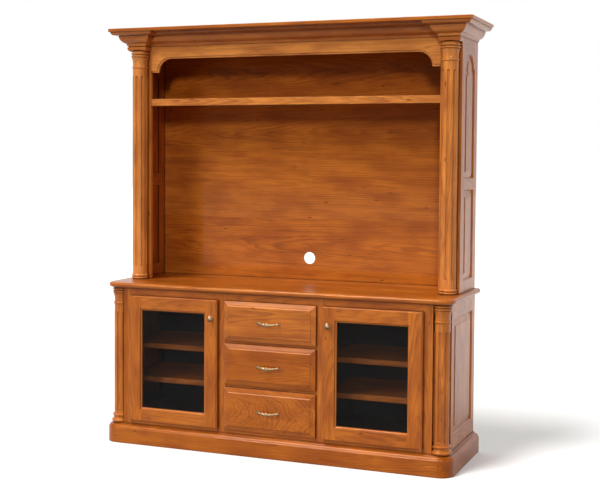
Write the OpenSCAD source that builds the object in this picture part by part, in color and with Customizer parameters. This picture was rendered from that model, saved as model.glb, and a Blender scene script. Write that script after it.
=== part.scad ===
// Two-piece television stand: a base with two glazed doors and three drawers,
// and an open hutch with an arched valance, a shelf and a break-front crown.
// Millimetres, +Z up, front facing -Y, origin on the floor at the middle.

/* [Overall] */
// Height of the whole unit, floor to crown
overall_h = 2032; // [1960:1:2110]
// Height of the base, floor to the upper face of its top
base_h = 787; // [750:1:830]
// Width over the side frames of the base
base_w = 1694; // [1620:1:1760]
// Depth of the base, back to the front of its face frame
base_d = 501; // [480:1:540]
// How far the sides of the hutch stand in from the sides of the base
hutch_set = 2; // [0:1:40]
// Depth of the hutch, back to the front of its stiles
hutch_d = 296; // [260:1:320]

/* [Boards] */
// Thickness of side frames, face frame, stiles and valance
frame_t = 20; // [18:1:22]
// Thickness of partitions
partition_t = 19; // [16:1:22]
// Thickness of the bottom board
bottom_t = 18; // [16:1:22]
// Thickness of the back panels
back_t = 6; // [5:1:9]
// Thickness of the adjustable shelves
shelf_t = 25; // [18:1:28]
// Thickness of the base top
top_t = 25; // [20:1:30]
// Overhang of the base top beyond the base, front and sides
top_out = 26; // [18:1:34]

/* [Plinth] */
// Height of the plinth with its moulded top
plinth_h = 97; // [90:1:110]
// Height of the flat face of the plinth
plinth_face_h = 75; // [66:1:82]
// Projection of the plinth beyond the base
plinth_out = 28; // [24:1:34]
// Ledge of the plinth under the base
plinth_in = 12; // [8:1:20]
// Thickness of the board across the back of the plinth
plinth_back_t = 20; // [16:1:26]

/* [Columns] */
// Radius of the column shafts
col_r = 37; // [34:0.5:38]
// Radius of the largest ring of a capital
ring_r = 45; // [42:0.5:47]
// Radius of the torus at the foot of a base column
foot_r = 50; // [46:0.5:52]
// Number of flutes round a shaft
flute_n = 8; // [6:2:12]
// Radius of the cutter that makes a flute
flute_r = 6.5; // [5:0.5:8]
// Depth of a flute
flute_depth = 5.5; // [2:0.5:6]
// Distance of a base column's axis from the front and side of the base
col_inset = 36; // [35:1:40]
// Square notch that a base column stands in
col_notch = 68; // [66:1:76]
// Distance of a hutch column's axis from the side of the hutch
hutch_col_inset = 50; // [46:1:60]
// Distance of a hutch column's axis ahead of the stiles
hutch_col_out = 20; // [12:1:30]

/* [Fronts] */
// Thickness of doors and drawer fronts
front_t = 20; // [18:1:24]
// Gap between the fronts and the face frame
front_gap = 1.5; // [1:0.25:2.5]
// How far the fronts lap over the face frame
overlay = 12; // [10:1:14]
// Face frame that shows between a column and a door
outer_reveal = 41; // [34:1:50]
// Face frame that shows between a door and the drawers
mid_reveal = 34.5; // [30:0.5:44]
// Face frame that shows under the fronts
low_reveal = 18; // [14:1:26]
// Face frame that shows over the fronts
high_reveal = 36; // [30:1:44]
// Width of a drawer front
drawer_w = 463; // [440:1:500]
// Height of the bottom drawer front
low_drawer_h = 202; // [190:1:212]
// Height of the middle drawer front
mid_drawer_h = 194; // [184:1:204]
// Gap between two drawer fronts
drawer_gap = 14; // [10:1:20]
// Width of the bevel round a drawer front, up to the step to its field
drawer_bevel = 17; // [14:1:24]
// Height of the step between the bevel and the field of a drawer front
drawer_step = 4; // [2:0.5:5]
// Width of that step, seen from the front
drawer_cove = 7; // [4:0.5:9]
// Width of the stiles and rails of a door
door_rail_w = 68; // [60:1:76]
// Thickness of the glass
glass_t = 4; // [3:0.5:5]
// Width of the moulding cut on the inner edges of frames
sticking_w = 7; // [5:1:9]
// Depth of the groove that holds a panel or the glass
groove_d = 8; // [6:1:10]

/* [Side frames] */
// Front stile of a base side frame, behind the column
base_stile_w = 45; // [43:1:54]
// Rear stile of a base side frame
base_rear_w = 57; // [48:1:70]
// Rail under the panel of a base side frame, above the plinth
base_low_rail_w = 76; // [66:1:90]
// Rail over the panel of a base side frame
base_high_rail_w = 82; // [70:1:96]
// Width of the stiles of a hutch side, the front one with the stile edge
hutch_stile_w = 64; // [56:1:76]
// Bottom rail of a hutch side
hutch_low_rail_w = 61; // [54:1:76]
// Height of the lower panel of a hutch side
low_panel_h = 404; // [380:1:430]
// Rail between the two panels of a hutch side
hutch_mid_rail_w = 64; // [54:1:80]
// Rail over the top of the arched panel, up to the crown
hutch_high_rail_w = 72; // [60:1:90]
// Radius of the arch on the upper panel
arch_r = 66; // [56:1:72]
// Width of the bevel of the raised panels
panel_bevel = 28; // [22:1:34]

/* [Hutch] */
// Width of the stiles of the hutch front
face_stile_w = 101; // [90:1:112]
// Height of the valance between crown and arch
frieze_h = 62; // [50:1:76]
// Height of the shelf's front edge
shelf_edge_h = 35; // [30:1:42]
// Thickness of the hutch shelf behind its edge
hutch_shelf_t = 20; // [16:1:24]
// Height from the shelf to the brackets of the valance
bracket_gap = 131; // [120:1:140]
// Length of the level land of a bracket
bracket_land = 40; // [30:1:60]
// Radius of the arch at each end of the valance
valance_r = 68; // [60:1:76]
// Width of the moulded lip along the valance
valance_lip = 8; // [6:1:10]

/* [Crown] */
// Thickness of the cap board
cap_t = 16; // [14:1:20]
// Projection of the cap beyond the sides of the hutch
crown_out = 73.5; // [68:0.5:80]
// Height of the crown moulding under the cap
crown_h = 66; // [62:1:70]
// How far the crown breaks forward over a column
block_out = 50; // [44:1:58]
// Width of the crown's corner block over a column
block_w = 95; // [92:1:104]
// Height of the rounded block between crown and column
ovolo_h = 27; // [22:1:32]

/* [Inside] */
// Underside of the upper adjustable shelf
upper_shelf_z = 457; // [420:1:500]
// Underside of the lower adjustable shelf
lower_shelf_z = 290; // [250:1:330]
// Radius of a shelf pin
pin_r = 2.5; // [2:0.25:3.5]
// Length of a shelf pin that shows
pin_out = 8; // [6:1:10]
// Depth of the hole for a shelf pin
pin_in = 10; // [8:1:12]
// Radius of a cable hole
cable_r = 30; // [25:1:40]
// Height of the cable hole over the base top
cable_h = 110; // [60:1:300]
// Distance of the other cable holes from the middle of their bay, towards the side
cable_off = 22; // [0:1:40]
// Thickness of the sides of a drawer box
box_t = 12; // [10:1:15]
// Thickness of a drawer bottom
box_bottom_t = 6; // [4:1:8]
// Room for a slide between drawer box and partition
slide_room = 13; // [12.5:0.5:15]
// Length of a slide and depth of a drawer box
slide_len = 400; // [350:10:420]
// Height of the cabinet member of a slide
slide_h = 44; // [40:1:46]

/* [Hardware] */
// Projection of the pulls from the drawer fronts
pull_out = 28; // [24:1:34]
// Length of a pull
pull_len = 124; // [110:1:140]
// Distance between the two posts of a pull
post_span = 96; // [76:1:102]
// Radius of a knob
knob_r = 15; // [12:0.5:18]
// Projection of a knob from the door
knob_out = 26; // [22:1:28]
// Distance of a knob from the door's inner edge
knob_in = 29; // [24:1:36]
// Distance of a knob from the door's upper edge
knob_down = 86; // [60:1:120]
// Radius of a pivot pin
pivot_r = 2.5; // [2:0.25:3]
// Distance of a pivot from the door's front and outer edge
pivot_in = 5; // [5:0.5:6]

/* [Hidden] */

wood = "#b8692d";
inner_wood = "#c08a55";
black_wood = "#1f1b18";
brass = "#8f7442";
steel = "#b9bcc0";
glass = [0.15, 0.12, 0.11, 0.55];

$fn = 64;
// Steps that a moulded curve is drawn with
curve_n = 6;
// Clearance of a loose part in its hole or groove
fit = 0.3;
// Radial clearance of a pin in its hole
pin_fit = 0.05;
// Reach of a cutter past the face that it opens
past = 1;

total_d = base_d + front_gap + front_t + max(pull_out, knob_out);
back_y = total_d / 2;
face_y = back_y - base_d;
face_back_y = face_y + frame_t;
front_back_y = face_y - front_gap;
front_y = front_back_y - front_t;
inner_back_y = back_y - back_t;
hutch_y = back_y - hutch_d;
hutch_inner_y = hutch_y + frame_t;

side_x = base_w / 2;
side_in_x = side_x - frame_t;
notch_x = side_x - col_notch;
notch_y = face_y + col_notch;
top_z = base_h - top_t;
carcass_z = plinth_face_h;
low_z = plinth_h + low_reveal;
high_z = top_z - high_reveal;
front_h = high_z - low_z;
opening_low_z = low_z + overlay;
opening_high_z = high_z - overlay;

drawer_x = drawer_w / 2;
drawer_open_x = drawer_x - overlay;
partition_x = drawer_open_x + partition_t;
door_in_x = drawer_x + mid_reveal;
door_out_x = notch_x - outer_reveal;
door_w = door_out_x - door_in_x;
door_mid_x = (door_in_x + door_out_x) / 2;

mid_drawer_z = low_z + low_drawer_h + drawer_gap;
top_drawer_z = mid_drawer_z + mid_drawer_h + drawer_gap;
top_drawer_h = high_z - top_drawer_z;
drawer_zs = [low_z, mid_drawer_z, top_drawer_z];
drawer_hs = [low_drawer_h, mid_drawer_h, top_drawer_h];

hutch_x = side_x - hutch_set;
hutch_in_x = hutch_x - frame_t;
hutch_open_x = hutch_x - face_stile_w;
cap_z = overall_h - cap_t;
crown_z = cap_z - crown_h;
column_top_z = crown_z - ovolo_h;
block_in_x = hutch_x - block_w;
block_y = hutch_y - block_out;
hutch_col_x = hutch_x - hutch_col_inset;
hutch_col_y = hutch_y - hutch_col_out;
base_col_x = side_x - col_inset;
base_col_y = face_y + col_inset;
valance_z = crown_z - frieze_h;
bracket_z = valance_z - valance_r;
shelf_top_z = bracket_z - bracket_gap;
shelf_edge_z = shelf_top_z - shelf_edge_h;
arch_center_x = hutch_open_x - bracket_land - valance_r;

// Panels lie this far behind the face of their frame, their tongue this much deeper
field_set = 2;
tongue_set = 8;
tongue_t = 6;
field_step = 1.5;
glass_set = 8;

pin_front_y = notch_y + (frame_t + base_stile_w - groove_d) / 2;
pin_back_y = back_y - base_rear_w * 0.6;
shelf_fit = 1;
shelf_front_y = notch_y + frame_t + shelf_fit;
shelf_zs = [lower_shelf_z, upper_shelf_z];

// Points of a circular arc from a to b that stands off their chord by bow, to its left
function arc(a, b, bow, n = curve_n) =
    let (chord = b - a, half = norm(chord) / 2)
    let (r = (half * half + bow * bow) / (2 * abs(bow)), side = sign(bow))
    let (left = [-chord[1], chord[0]] / norm(chord))
    let (center = (a + b) / 2 + left * side * (abs(bow) - r))
    let (sweep = asin(min(1, half / r)) * (abs(bow) > half ? -1 : 1))
    let (reach = abs(bow) > half ? 180 + sweep : sweep)
    [for (i = [0:n]) let (t = -reach + 2 * reach * i / n)
        center + r * (left * side * cos(t) + chord / norm(chord) * sin(t))];

// Closed section of a block w wide whose two edges follow [inset, z] points
function section(w, edge) = concat(
    [for (p = edge) [w / 2 - p[0], p[1]]],
    [for (i = [len(edge) - 1:-1:0]) [edge[i][0] - w / 2, edge[i][1]]]);

function reach_of(edge) = past - min([for (p = edge) p[0]]);

// Block whose four sides all follow one edge profile, mitred at its corners
module mitred(w, h, edge) {
    intersection() {
        rotate([90, 0, 0])
            linear_extrude(h + 2 * reach_of(edge), center = true) polygon(section(w, edge));
        rotate([90, 0, 90])
            linear_extrude(w + 2 * reach_of(edge), center = true) polygon(section(h, edge));
    }
}

// Box between two corners
module board(a, b) {
    translate(a) cube(b - a);
}

// Local X and Y lie in the front, local Z points out of it
module on_front(x, y, z) {
    translate([x, y, z]) rotate([90, 0, 0]) children();
}

// Local X runs to the back, local Y up and local Z out of the right side
module on_right(x, y, z) {
    translate([x, y, z]) rotate([90, 0, 90]) children();
}

module mirrored() {
    mirror([1, 0, 0]) children();
}

module both_sides() {
    children();
    mirrored() children();
}

// Rectangle standing on the origin, with an arch on its upper edge where r is given
module outline(w, h, r) {
    translate([-w / 2, 0]) square([w, h]);
    if (r > 0)
        translate([0, h]) circle(r);
}

// Raised panel for an opening w by h, its face looking along +Z
module raised_panel(w, h, r = 0) {
    low = -tongue_set;
    high = -field_set;
    tongue_in = groove_d - fit;
    edge = [[fit, low], [panel_bevel, high - field_step], [panel_bevel, high]];
    translate([0, -tongue_in, low - tongue_t]) linear_extrude(tongue_t)
        outline(w + 2 * tongue_in, h + 2 * tongue_in, r > 0 ? r + tongue_in : 0);
    translate([0, h / 2]) mitred(w, h, edge);
    if (r > 0) {
        translate([0, h, low])
            cylinder(h = high - field_step - low, r1 = r - fit, r2 = r - panel_bevel);
        translate([0, h, low]) cylinder(h = high - low, r = r - panel_bevel);
    }
}

// Cutter for the opening of a raised panel: hole, moulded inner edge and groove
module panel_opening(w, h, r = 0) {
    translate([0, 0, -frame_t - past]) linear_extrude(frame_t + 2 * past) outline(w, h, r);
    translate([0, h / 2]) mitred(w, h, sticking_edge);
    if (r > 0)
        translate([0, h, -sticking_w]) cylinder(h = sticking_w + past, r1 = r, r2 = r + sticking_w + past);
    translate([0, -groove_d, -tongue_set - tongue_t - fit / 2]) linear_extrude(tongue_t + fit)
        outline(w + 2 * groove_d, h + 2 * groove_d, r > 0 ? r + groove_d : 0);
}

sticking_edge = [[0, -sticking_w], [-sticking_w - past, past]];

// Section of the plinth, [projection, height], with its bead, quirk and ogee
plinth_bead = 5;
plinth_quirk = 2;
plinth_section = concat(
    [[-plinth_in, 0], [plinth_out, 0], [plinth_out, plinth_face_h - plinth_quirk / 2],
        [plinth_out - plinth_quirk / 2, plinth_face_h], [plinth_out - plinth_quirk, plinth_face_h],
        [plinth_out - plinth_quirk, plinth_face_h + plinth_quirk]],
    arc([plinth_out - plinth_quirk, plinth_face_h + plinth_quirk],
        [plinth_bead + plinth_quirk * 2, plinth_h - plinth_bead], -3.5),
    [[plinth_bead + plinth_quirk, plinth_h - plinth_bead]],
    arc([plinth_bead + plinth_quirk, plinth_h - plinth_quirk], [plinth_bead, plinth_h], -0.6, 3),
    [[0, plinth_h], [0, plinth_face_h], [-plinth_in, plinth_face_h]]);

module plinth_corner() {
    room = col_notch - col_inset;
    translate([base_col_x, base_col_y, 0]) {
        rotate(-90) rotate_extrude(angle = 90) translate([col_inset, 0]) polygon(plinth_section);
        intersection() {
            cylinder(h = plinth_h, r = col_inset);
            translate([0, -col_inset, 0]) cube([col_inset, col_inset, plinth_h]);
        }
        translate([-room, -col_inset, 0]) cube([room, col_notch, plinth_h]);
        cube([col_inset, room, plinth_h]);
    }
}

module plinth() {
    color(wood) {
        translate([-base_col_x, face_y, 0]) rotate([90, 0, 90])
            linear_extrude(2 * base_col_x) mirror([1, 0]) polygon(plinth_section);
        both_sides() {
            plinth_corner();
            translate([side_x, back_y, 0]) rotate([90, 0, 0])
                linear_extrude(back_y - base_col_y) polygon(plinth_section);
        }
        board([-side_x, back_y - plinth_back_t, 0], [side_x, back_y, carcass_z]);
    }
}

module base_bottom() {
    color(black_wood) difference() {
        board([-side_in_x, face_back_y, opening_low_z - bottom_t],
            [side_in_x, inner_back_y, opening_low_z]);
        both_sides() board([notch_x - frame_t, face_back_y - past, 0],
            [side_x, notch_y + frame_t, opening_low_z + past]);
    }
}

base_panel_w = base_d - col_notch - base_stile_w - base_rear_w;
base_panel_y = notch_y + base_stile_w + base_panel_w / 2;
base_panel_z = plinth_h + base_low_rail_w;
base_panel_h = top_z - base_high_rail_w - base_panel_z;

// Hole for a shelf pin, drilled along +X from the face at x
module pin_holes(x) {
    for (z = shelf_zs, y = [pin_front_y, pin_back_y])
        translate([x - past, y, z - pin_r]) rotate([0, 90, 0])
            cylinder(h = pin_in + past, r = pin_r + pin_fit);
}

module base_side_right() {
    color(wood) difference() {
        union() {
            board([side_in_x, notch_y, carcass_z], [side_x, back_y, top_z]);
            board([notch_x, notch_y, carcass_z], [side_x, notch_y + frame_t, top_z]);
        }
        on_right(side_x, base_panel_y, base_panel_z) panel_opening(base_panel_w, base_panel_h);
        pin_holes(side_in_x);
    }
}

module base_side_left() {
    mirrored() base_side_right();
}

module base_panel_right() {
    color(wood) on_right(side_x, base_panel_y, base_panel_z) raised_panel(base_panel_w, base_panel_h);
}

module base_panel_left() {
    mirrored() base_panel_right();
}

module partition_right() {
    color(black_wood) difference() {
        board([drawer_open_x, face_back_y, opening_low_z], [partition_x, inner_back_y, top_z]);
        mirrored() pin_holes(-partition_x);
    }
}

module partition_left() {
    mirrored() partition_right();
}

cable_x = (partition_x + side_in_x) / 2 + cable_off;
// Middles of the three compartments of a bay, floor to top
bay_zs = [(opening_low_z + lower_shelf_z) / 2, (lower_shelf_z + shelf_t + upper_shelf_z) / 2,
    (upper_shelf_z + shelf_t + top_z) / 2];

module cable_hole(x, z) {
    on_front(x, back_y + past, z) cylinder(h = back_t + 2 * past, r = cable_r);
}

module base_back() {
    color(black_wood) difference() {
        board([-side_in_x, inner_back_y, carcass_z], [side_in_x, back_y, top_z]);
        for (x = [-cable_x, cable_x], z = bay_zs)
            cable_hole(x, z);
    }
}

// Pivot leaf let into the face frame behind a door corner
leaf_w = overlay - 1;
leaf_h = 44;
leaf_t = 1.2;
leaf_arm_t = 2;
pivot_x = door_out_x - pivot_in;
pivot_y = front_y + pivot_in;
pivot_pin_h = 12;

module leaf_pockets(slack) {
    for (z = [low_z - fit - leaf_arm_t, high_z + fit + leaf_arm_t - leaf_h])
        board([door_out_x - leaf_w - slack, face_y - past, z - slack],
            [door_out_x + slack, face_y + leaf_t + slack / 2, z + leaf_h + slack]);
}

module base_face_frame() {
    color(wood) difference() {
        union() {
            board([-notch_x, face_y, carcass_z], [notch_x, face_back_y, top_z]);
            both_sides() board([notch_x - frame_t, face_y, carcass_z], [notch_x, notch_y + frame_t, top_z]);
        }
        both_sides() {
            board([door_in_x + overlay, face_y - past, opening_low_z],
                [door_out_x - overlay, face_back_y + past, opening_high_z]);
            leaf_pockets(fit / 3);
        }
        for (i = [0:2])
            board([-drawer_open_x, face_y - past, drawer_zs[i] + overlay],
                [drawer_open_x, face_back_y + past, drawer_zs[i] + drawer_hs[i] - overlay]);
    }
}

// Capital, measured down from the top of a column: two rings, a bell and a thin ring
high_ring = 10;
low_ring = 23;
neck_ring = 78;
ring_half = 5;
neck_r = ring_r - 5;
flute_top = 122;

// Bulging ring on a shaft of radius r, its middle at height z
function ring(r, z, bulge) = arc([r, z - ring_half], [r, z + ring_half], -bulge);

// Half section of a column h high, [radius, height], over a foot given from the floor up
function column_section(h, foot) = concat([[0, 0]], foot,
    ring(col_r + 0.5, h - neck_ring, ring_half * 0.8),
    arc([col_r, h - neck_ring + ring_half + 1], [neck_r + 2, h - low_ring - ring_half - 1], 2.5),
    ring(neck_r, h - low_ring, ring_r - neck_r - 0.5),
    ring(neck_r, h - high_ring, ring_r - neck_r),
    [[neck_r, h], [0, h]]);

// Turned foot of a base column: torus, hollow and ring
base_foot = concat(
    arc([foot_r - 3, 0], [foot_r - 3, 12], -3),
    arc([foot_r - 5, 13], [col_r + 4, 27], 2),
    arc([col_r + 4, 28], [col_r + 4, 38], -ring_half),
    [[col_r, 41]]);
base_flute_z = 52;

// Turned foot of a hutch column: two rings
hutch_foot = concat(
    arc([col_r + 1, 3], [col_r + 1, 13], -3.5),
    arc([col_r + 1, 14.5], [col_r + 1, 24.5], -3.5),
    [[col_r, 26]]);
hutch_flute_z = 65;

// Turned column with round-ended flutes from flute_z up
module column(h, foot, flute_z) {
    axis_r = col_r + flute_r - flute_depth;
    low = flute_z + flute_r;
    high = h - flute_top - flute_r;
    difference() {
        rotate_extrude() polygon(column_section(h, foot));
        for (i = [0:flute_n - 1])
            rotate(360 * i / flute_n) translate([0, -axis_r, 0]) {
                translate([0, 0, low]) cylinder(h = high - low, r = flute_r);
                translate([0, 0, low]) sphere(flute_r);
                translate([0, 0, high]) sphere(flute_r);
            }
    }
}

module base_column_right() {
    h = top_z - plinth_h;
    room = col_notch - col_inset - fit;
    color(wood) translate([base_col_x, base_col_y, plinth_h]) difference() {
        column(h, base_foot, base_flute_z);
        translate([-room - foot_r, -foot_r, -past]) cube([foot_r, 2 * foot_r, h + 2 * past]);
        translate([-foot_r, room, -past]) cube([2 * foot_r, foot_r, h + 2 * past]);
    }
}

module base_column_left() {
    mirrored() base_column_right();
}

// Board with a full bullnose on its front and side edges and round front corners
module base_top() {
    nose = top_t / 2;
    x = side_x + top_out;
    y = face_y - top_out;
    corner = col_inset + top_out;
    color(wood) {
        board([-x + nose, y + corner, top_z], [x - nose, back_y, base_h]);
        board([-x + corner, y + nose, top_z], [x - corner, y + corner, base_h]);
        translate([-x + corner, y + nose, top_z + nose]) rotate([0, 90, 0])
            cylinder(h = 2 * (x - corner), r = nose);
        both_sides() {
            translate([x - nose, back_y, top_z + nose]) rotate([90, 0, 0])
                cylinder(h = back_y - y - corner, r = nose);
            translate([x - corner, y + corner, top_z]) {
                cylinder(h = top_t, r = corner - nose);
                translate([0, 0, nose]) rotate(-90) rotate_extrude(angle = 90)
                    translate([corner - nose, 0]) circle(nose);
            }
        }
    }
}

module bay_shelf(z) {
    color(wood) board([partition_x + shelf_fit, shelf_front_y, z],
        [side_in_x - shelf_fit, inner_back_y - shelf_fit, z + shelf_t]);
}

module shelf_right_upper() {
    bay_shelf(upper_shelf_z);
}

module shelf_right_lower() {
    bay_shelf(lower_shelf_z);
}

module shelf_left_upper() {
    mirrored() bay_shelf(upper_shelf_z);
}

module shelf_left_lower() {
    mirrored() bay_shelf(lower_shelf_z);
}

module shelf_pins() {
    long = pin_out + pin_in - fit;
    starts = [side_in_x - pin_out, partition_x + pin_out - long];
    color(steel) both_sides() for (x = starts, z = shelf_zs, y = [pin_front_y, pin_back_y])
        translate([x, y, z - pin_r]) rotate([0, 90, 0]) cylinder(h = long, r = pin_r);
}

// Slides: a channel on the partition and a rail on the drawer that runs inside it
slide_wall = 1.5;
slide_gap = 0.5;
box_x = drawer_open_x - slide_room;
channel_w = slide_room - 3;
function slide_z(i) = drawer_zs[i] + overlay + 20;

module slide_channel(z) {
    y = face_back_y;
    difference() {
        board([drawer_open_x - channel_w, y, z], [drawer_open_x, y + slide_len, z + slide_h]);
        board([drawer_open_x - channel_w - past, y - past, z + slide_wall],
            [drawer_open_x - slide_wall, y + slide_len + past, z + slide_h - slide_wall]);
    }
}

module cabinet_slides() {
    color(steel) both_sides() for (i = [0:2]) slide_channel(slide_z(i));
}

module drawer_slides(i) {
    y = face_back_y + fit;
    end = face_back_y + slide_len - fit;
    low = slide_z(i) + slide_wall + slide_gap;
    high = slide_z(i) + slide_h - slide_wall - slide_gap;
    rail_x = drawer_open_x - channel_w + slide_gap;
    web = 6;
    color(steel) both_sides() {
        board([box_x, y, low + web], [rail_x + past, end, high - web]);
        board([rail_x, y, low], [drawer_open_x - slide_wall - slide_gap, end, high]);
    }
}

// L-shaped leaves on the face frame, whose arms carry the pins over and under each door
module pivot_plates() {
    color(brass) both_sides() {
        difference() {
            leaf_pockets(0);
            board([0, face_y - 2 * past, 0], [side_x, face_y, base_h]);
        }
        for (z = [low_z - fit - leaf_arm_t, high_z + fit])
            board([door_out_x - leaf_w, front_y + 1, z], [door_out_x, face_y + leaf_t, z + leaf_arm_t]);
        for (z = [low_z - fit - past, high_z - pivot_pin_h + fit])
            translate([pivot_x, pivot_y, z]) cylinder(h = pivot_pin_h + past, r = pivot_r);
    }
}

// Magnetic catches under the top rail, and the plates on the doors that they hold
catch_w = 46;
catch_h = 13;
catch_in = 8;
catch_x = door_in_x + overlay + catch_in;
strike_t = 1;
strike_gap = 0.4;

module door_catches() {
    color(steel) both_sides()
        board([catch_x, front_back_y + strike_t + strike_gap, opening_high_z - catch_h],
            [catch_x + catch_w, face_back_y, opening_high_z]);
}

module door_strike() {
    color(steel) board([catch_x, front_back_y, opening_high_z - catch_h],
        [catch_x + catch_w, front_back_y + strike_t, opening_high_z - 2]);
}

// Panels of the hutch sides
side_panel_w = hutch_d - 2 * hutch_stile_w;
side_panel_y = hutch_y + hutch_d / 2;
low_panel_z = base_h + hutch_low_rail_w;
arch_panel_z = low_panel_z + low_panel_h + hutch_mid_rail_w;
arch_panel_h = crown_z - hutch_high_rail_w - arch_r - arch_panel_z;

module hutch_side_right() {
    color(wood) difference() {
        board([hutch_in_x, hutch_inner_y, base_h], [hutch_x, back_y, cap_z]);
        on_right(hutch_x, side_panel_y, low_panel_z) panel_opening(side_panel_w, low_panel_h);
        on_right(hutch_x, side_panel_y, arch_panel_z) panel_opening(side_panel_w, arch_panel_h, arch_r);
    }
}

module hutch_side_left() {
    mirrored() hutch_side_right();
}

module low_panel_right() {
    color(wood) on_right(hutch_x, side_panel_y, low_panel_z) raised_panel(side_panel_w, low_panel_h);
}

module low_panel_left() {
    mirrored() low_panel_right();
}

module arch_panel_right() {
    color(wood) on_right(hutch_x, side_panel_y, arch_panel_z)
        raised_panel(side_panel_w, arch_panel_h, arch_r);
}

module arch_panel_left() {
    mirrored() arch_panel_right();
}

module hutch_stile_right() {
    color(wood) board([hutch_open_x, hutch_y, base_h], [hutch_x, hutch_inner_y, cap_z]);
}

module hutch_stile_left() {
    mirrored() hutch_stile_right();
}

// Space under the valance, grown by the width of its lip
module under_valance(grow) {
    translate([-arch_center_x, base_h]) square([2 * arch_center_x, valance_z + grow - base_h]);
    translate([-hutch_open_x, base_h]) square([2 * hutch_open_x, bracket_z + grow - base_h]);
    for (x = [-arch_center_x, arch_center_x])
        translate([x, bracket_z]) circle(valance_r + grow);
}

module valance() {
    lip_t = 5;
    low = bracket_z - past;
    color(wood) on_front(0, hutch_inner_y, 0) difference() {
        translate([-hutch_open_x, low]) cube([2 * hutch_open_x, cap_z - low, frame_t]);
        translate([0, 0, -past]) linear_extrude(frame_t + 2 * past) under_valance(0);
        translate([0, 0, frame_t - lip_t]) linear_extrude(lip_t + past) under_valance(valance_lip);
    }
}

module hutch_shelf() {
    color(wood) {
        board([-hutch_in_x, hutch_inner_y, shelf_top_z - hutch_shelf_t],
            [hutch_in_x, inner_back_y, shelf_top_z]);
        board([-hutch_open_x, hutch_y, shelf_edge_z], [hutch_open_x, hutch_inner_y, shelf_top_z]);
    }
}

module hutch_back() {
    color(wood) difference() {
        board([-hutch_in_x, inner_back_y, base_h], [hutch_in_x, back_y, cap_z]);
        cable_hole(0, base_h + cable_h);
    }
}

module hutch_column_right() {
    h = column_top_z - base_h;
    color(wood) translate([hutch_col_x, hutch_col_y, base_h]) difference() {
        column(h, hutch_foot, hutch_flute_z);
        translate([-ring_r, hutch_col_out, -past]) cube([2 * ring_r, ring_r, h + 2 * past]);
    }
}

module hutch_column_left() {
    mirrored() hutch_column_right();
}

module crown_cap() {
    x = hutch_x + crown_out;
    color(wood) board([-x, block_y - crown_out, cap_z], [x, back_y, overall_h]);
}

// Crown moulding as [projection, drop below the cap], from the cap down to its foot
cove_in = crown_out - 8;
crown_drops = concat(
    arc([cove_in, 0], [cove_in - 12.5, 15.5], -3.5),
    [[crown_out / 2, 16.5]],
    arc([crown_out / 2 - 1, 17], [18, crown_h - 17], -4),
    [[16, crown_h - 16]],
    arc([15, crown_h - 15], [5, crown_h - 3], 3),
    [[4, crown_h]]);
crown_edge = [for (p = crown_drops) [-p[0], cap_z - p[1]]];

// Rounded block under the crown: a neck, a short face and an ovolo
ovolo_out = 4;
ovolo_in = 13;
neck_z = crown_z - ovolo_h * 0.2;
ovolo_z = crown_z - ovolo_h * 0.45;
ovolo_edge = concat([[0, crown_z], [0, neck_z], [-ovolo_out, neck_z]],
    arc([-ovolo_out, ovolo_z], [ovolo_in, column_top_z], -4.5));

// Corner of the crown over a column, with its return along the side of the hutch
module crown_right() {
    w = hutch_x - block_in_x;
    h = 2 * (back_y - block_y);
    color(wood) difference() {
        translate([(hutch_x + block_in_x) / 2, back_y, 0]) {
            mitred(w, h, crown_edge);
            mitred(w, h, ovolo_edge);
        }
        board([0, back_y, 0], [2 * hutch_x, back_y + h, overall_h]);
        board([0, hutch_y, 0], [hutch_x, back_y + past, overall_h]);
        board([0, hutch_y, 0], [2 * hutch_x, back_y + past, crown_z]);
    }
}

module crown_left() {
    mirrored() crown_right();
}

// Crown between the corner blocks, coped to their inner returns
module crown_center() {
    run = concat([[0, cap_z]], [for (p = crown_edge) [p[0], p[1]]], [[0, crown_z]]);
    inner = section(2 * block_in_x, [for (p = crown_edge) [-p[0], p[1]]]);
    color(wood) translate([0, hutch_y, 0]) intersection() {
        rotate([90, 0, 90]) linear_extrude(2 * block_in_x, center = true) polygon(run);
        rotate([90, 0, 0]) linear_extrude(2 * crown_out) polygon(inner);
    }
}

// Doors
door_edge = concat([[0, 0], [0, front_t - 4]], arc([0, front_t - 4], [4, front_t], -1.2, 3));
door_hole_w = door_w - 2 * door_rail_w;
door_hole_h = front_h - 2 * door_rail_w;
glass_z = front_t - glass_set - glass_t - fit;

// Rectangle over the hole of a door, grown by grow, from height z on the door's back
module pane(grow, z, t) {
    w = door_hole_w + 2 * grow;
    h = door_hole_h + 2 * grow;
    translate([-w / 2, -h / 2, z]) cube([w, h, t]);
}

module door_frame() {
    color(wood) difference() {
        on_front(door_mid_x, front_back_y, low_z + front_h / 2) difference() {
            mitred(door_w, front_h, door_edge);
            pane(0, -past, front_t + 2 * past);
            translate([0, 0, front_t]) mitred(door_hole_w, door_hole_h, sticking_edge);
            pane(groove_d, glass_z - fit, glass_t + 2 * fit);
        }
        for (z = [low_z - past, high_z - pivot_pin_h])
            translate([pivot_x, pivot_y, z]) cylinder(h = pivot_pin_h + past, r = pivot_r + pin_fit);
    }
}

module door_glass() {
    color(glass) on_front(door_mid_x, front_back_y, low_z + front_h / 2)
        pane(groove_d - 2 * fit, glass_z, glass_t);
}

// Turned knob: rose, stem and mushroom head with a bead
knob_section = concat([[0, 0], [knob_r * 0.72, 0]],
    arc([knob_r * 0.72, 1], [knob_r * 0.4, 4], 0.8, 4),
    arc([knob_r * 0.36, 5], [knob_r * 0.5, knob_out * 0.5], 1.2),
    arc([knob_r * 0.9, knob_out * 0.6], [knob_r * 0.9, knob_out * 0.74], -knob_r * 0.1, 6),
    arc([knob_r * 0.84, knob_out * 0.78], [0, knob_out], -knob_r * 0.12, 8));

module door_knob() {
    color(brass) on_front(door_in_x + knob_in, front_y, high_z - knob_down)
        rotate_extrude() polygon(knob_section);
}

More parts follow.
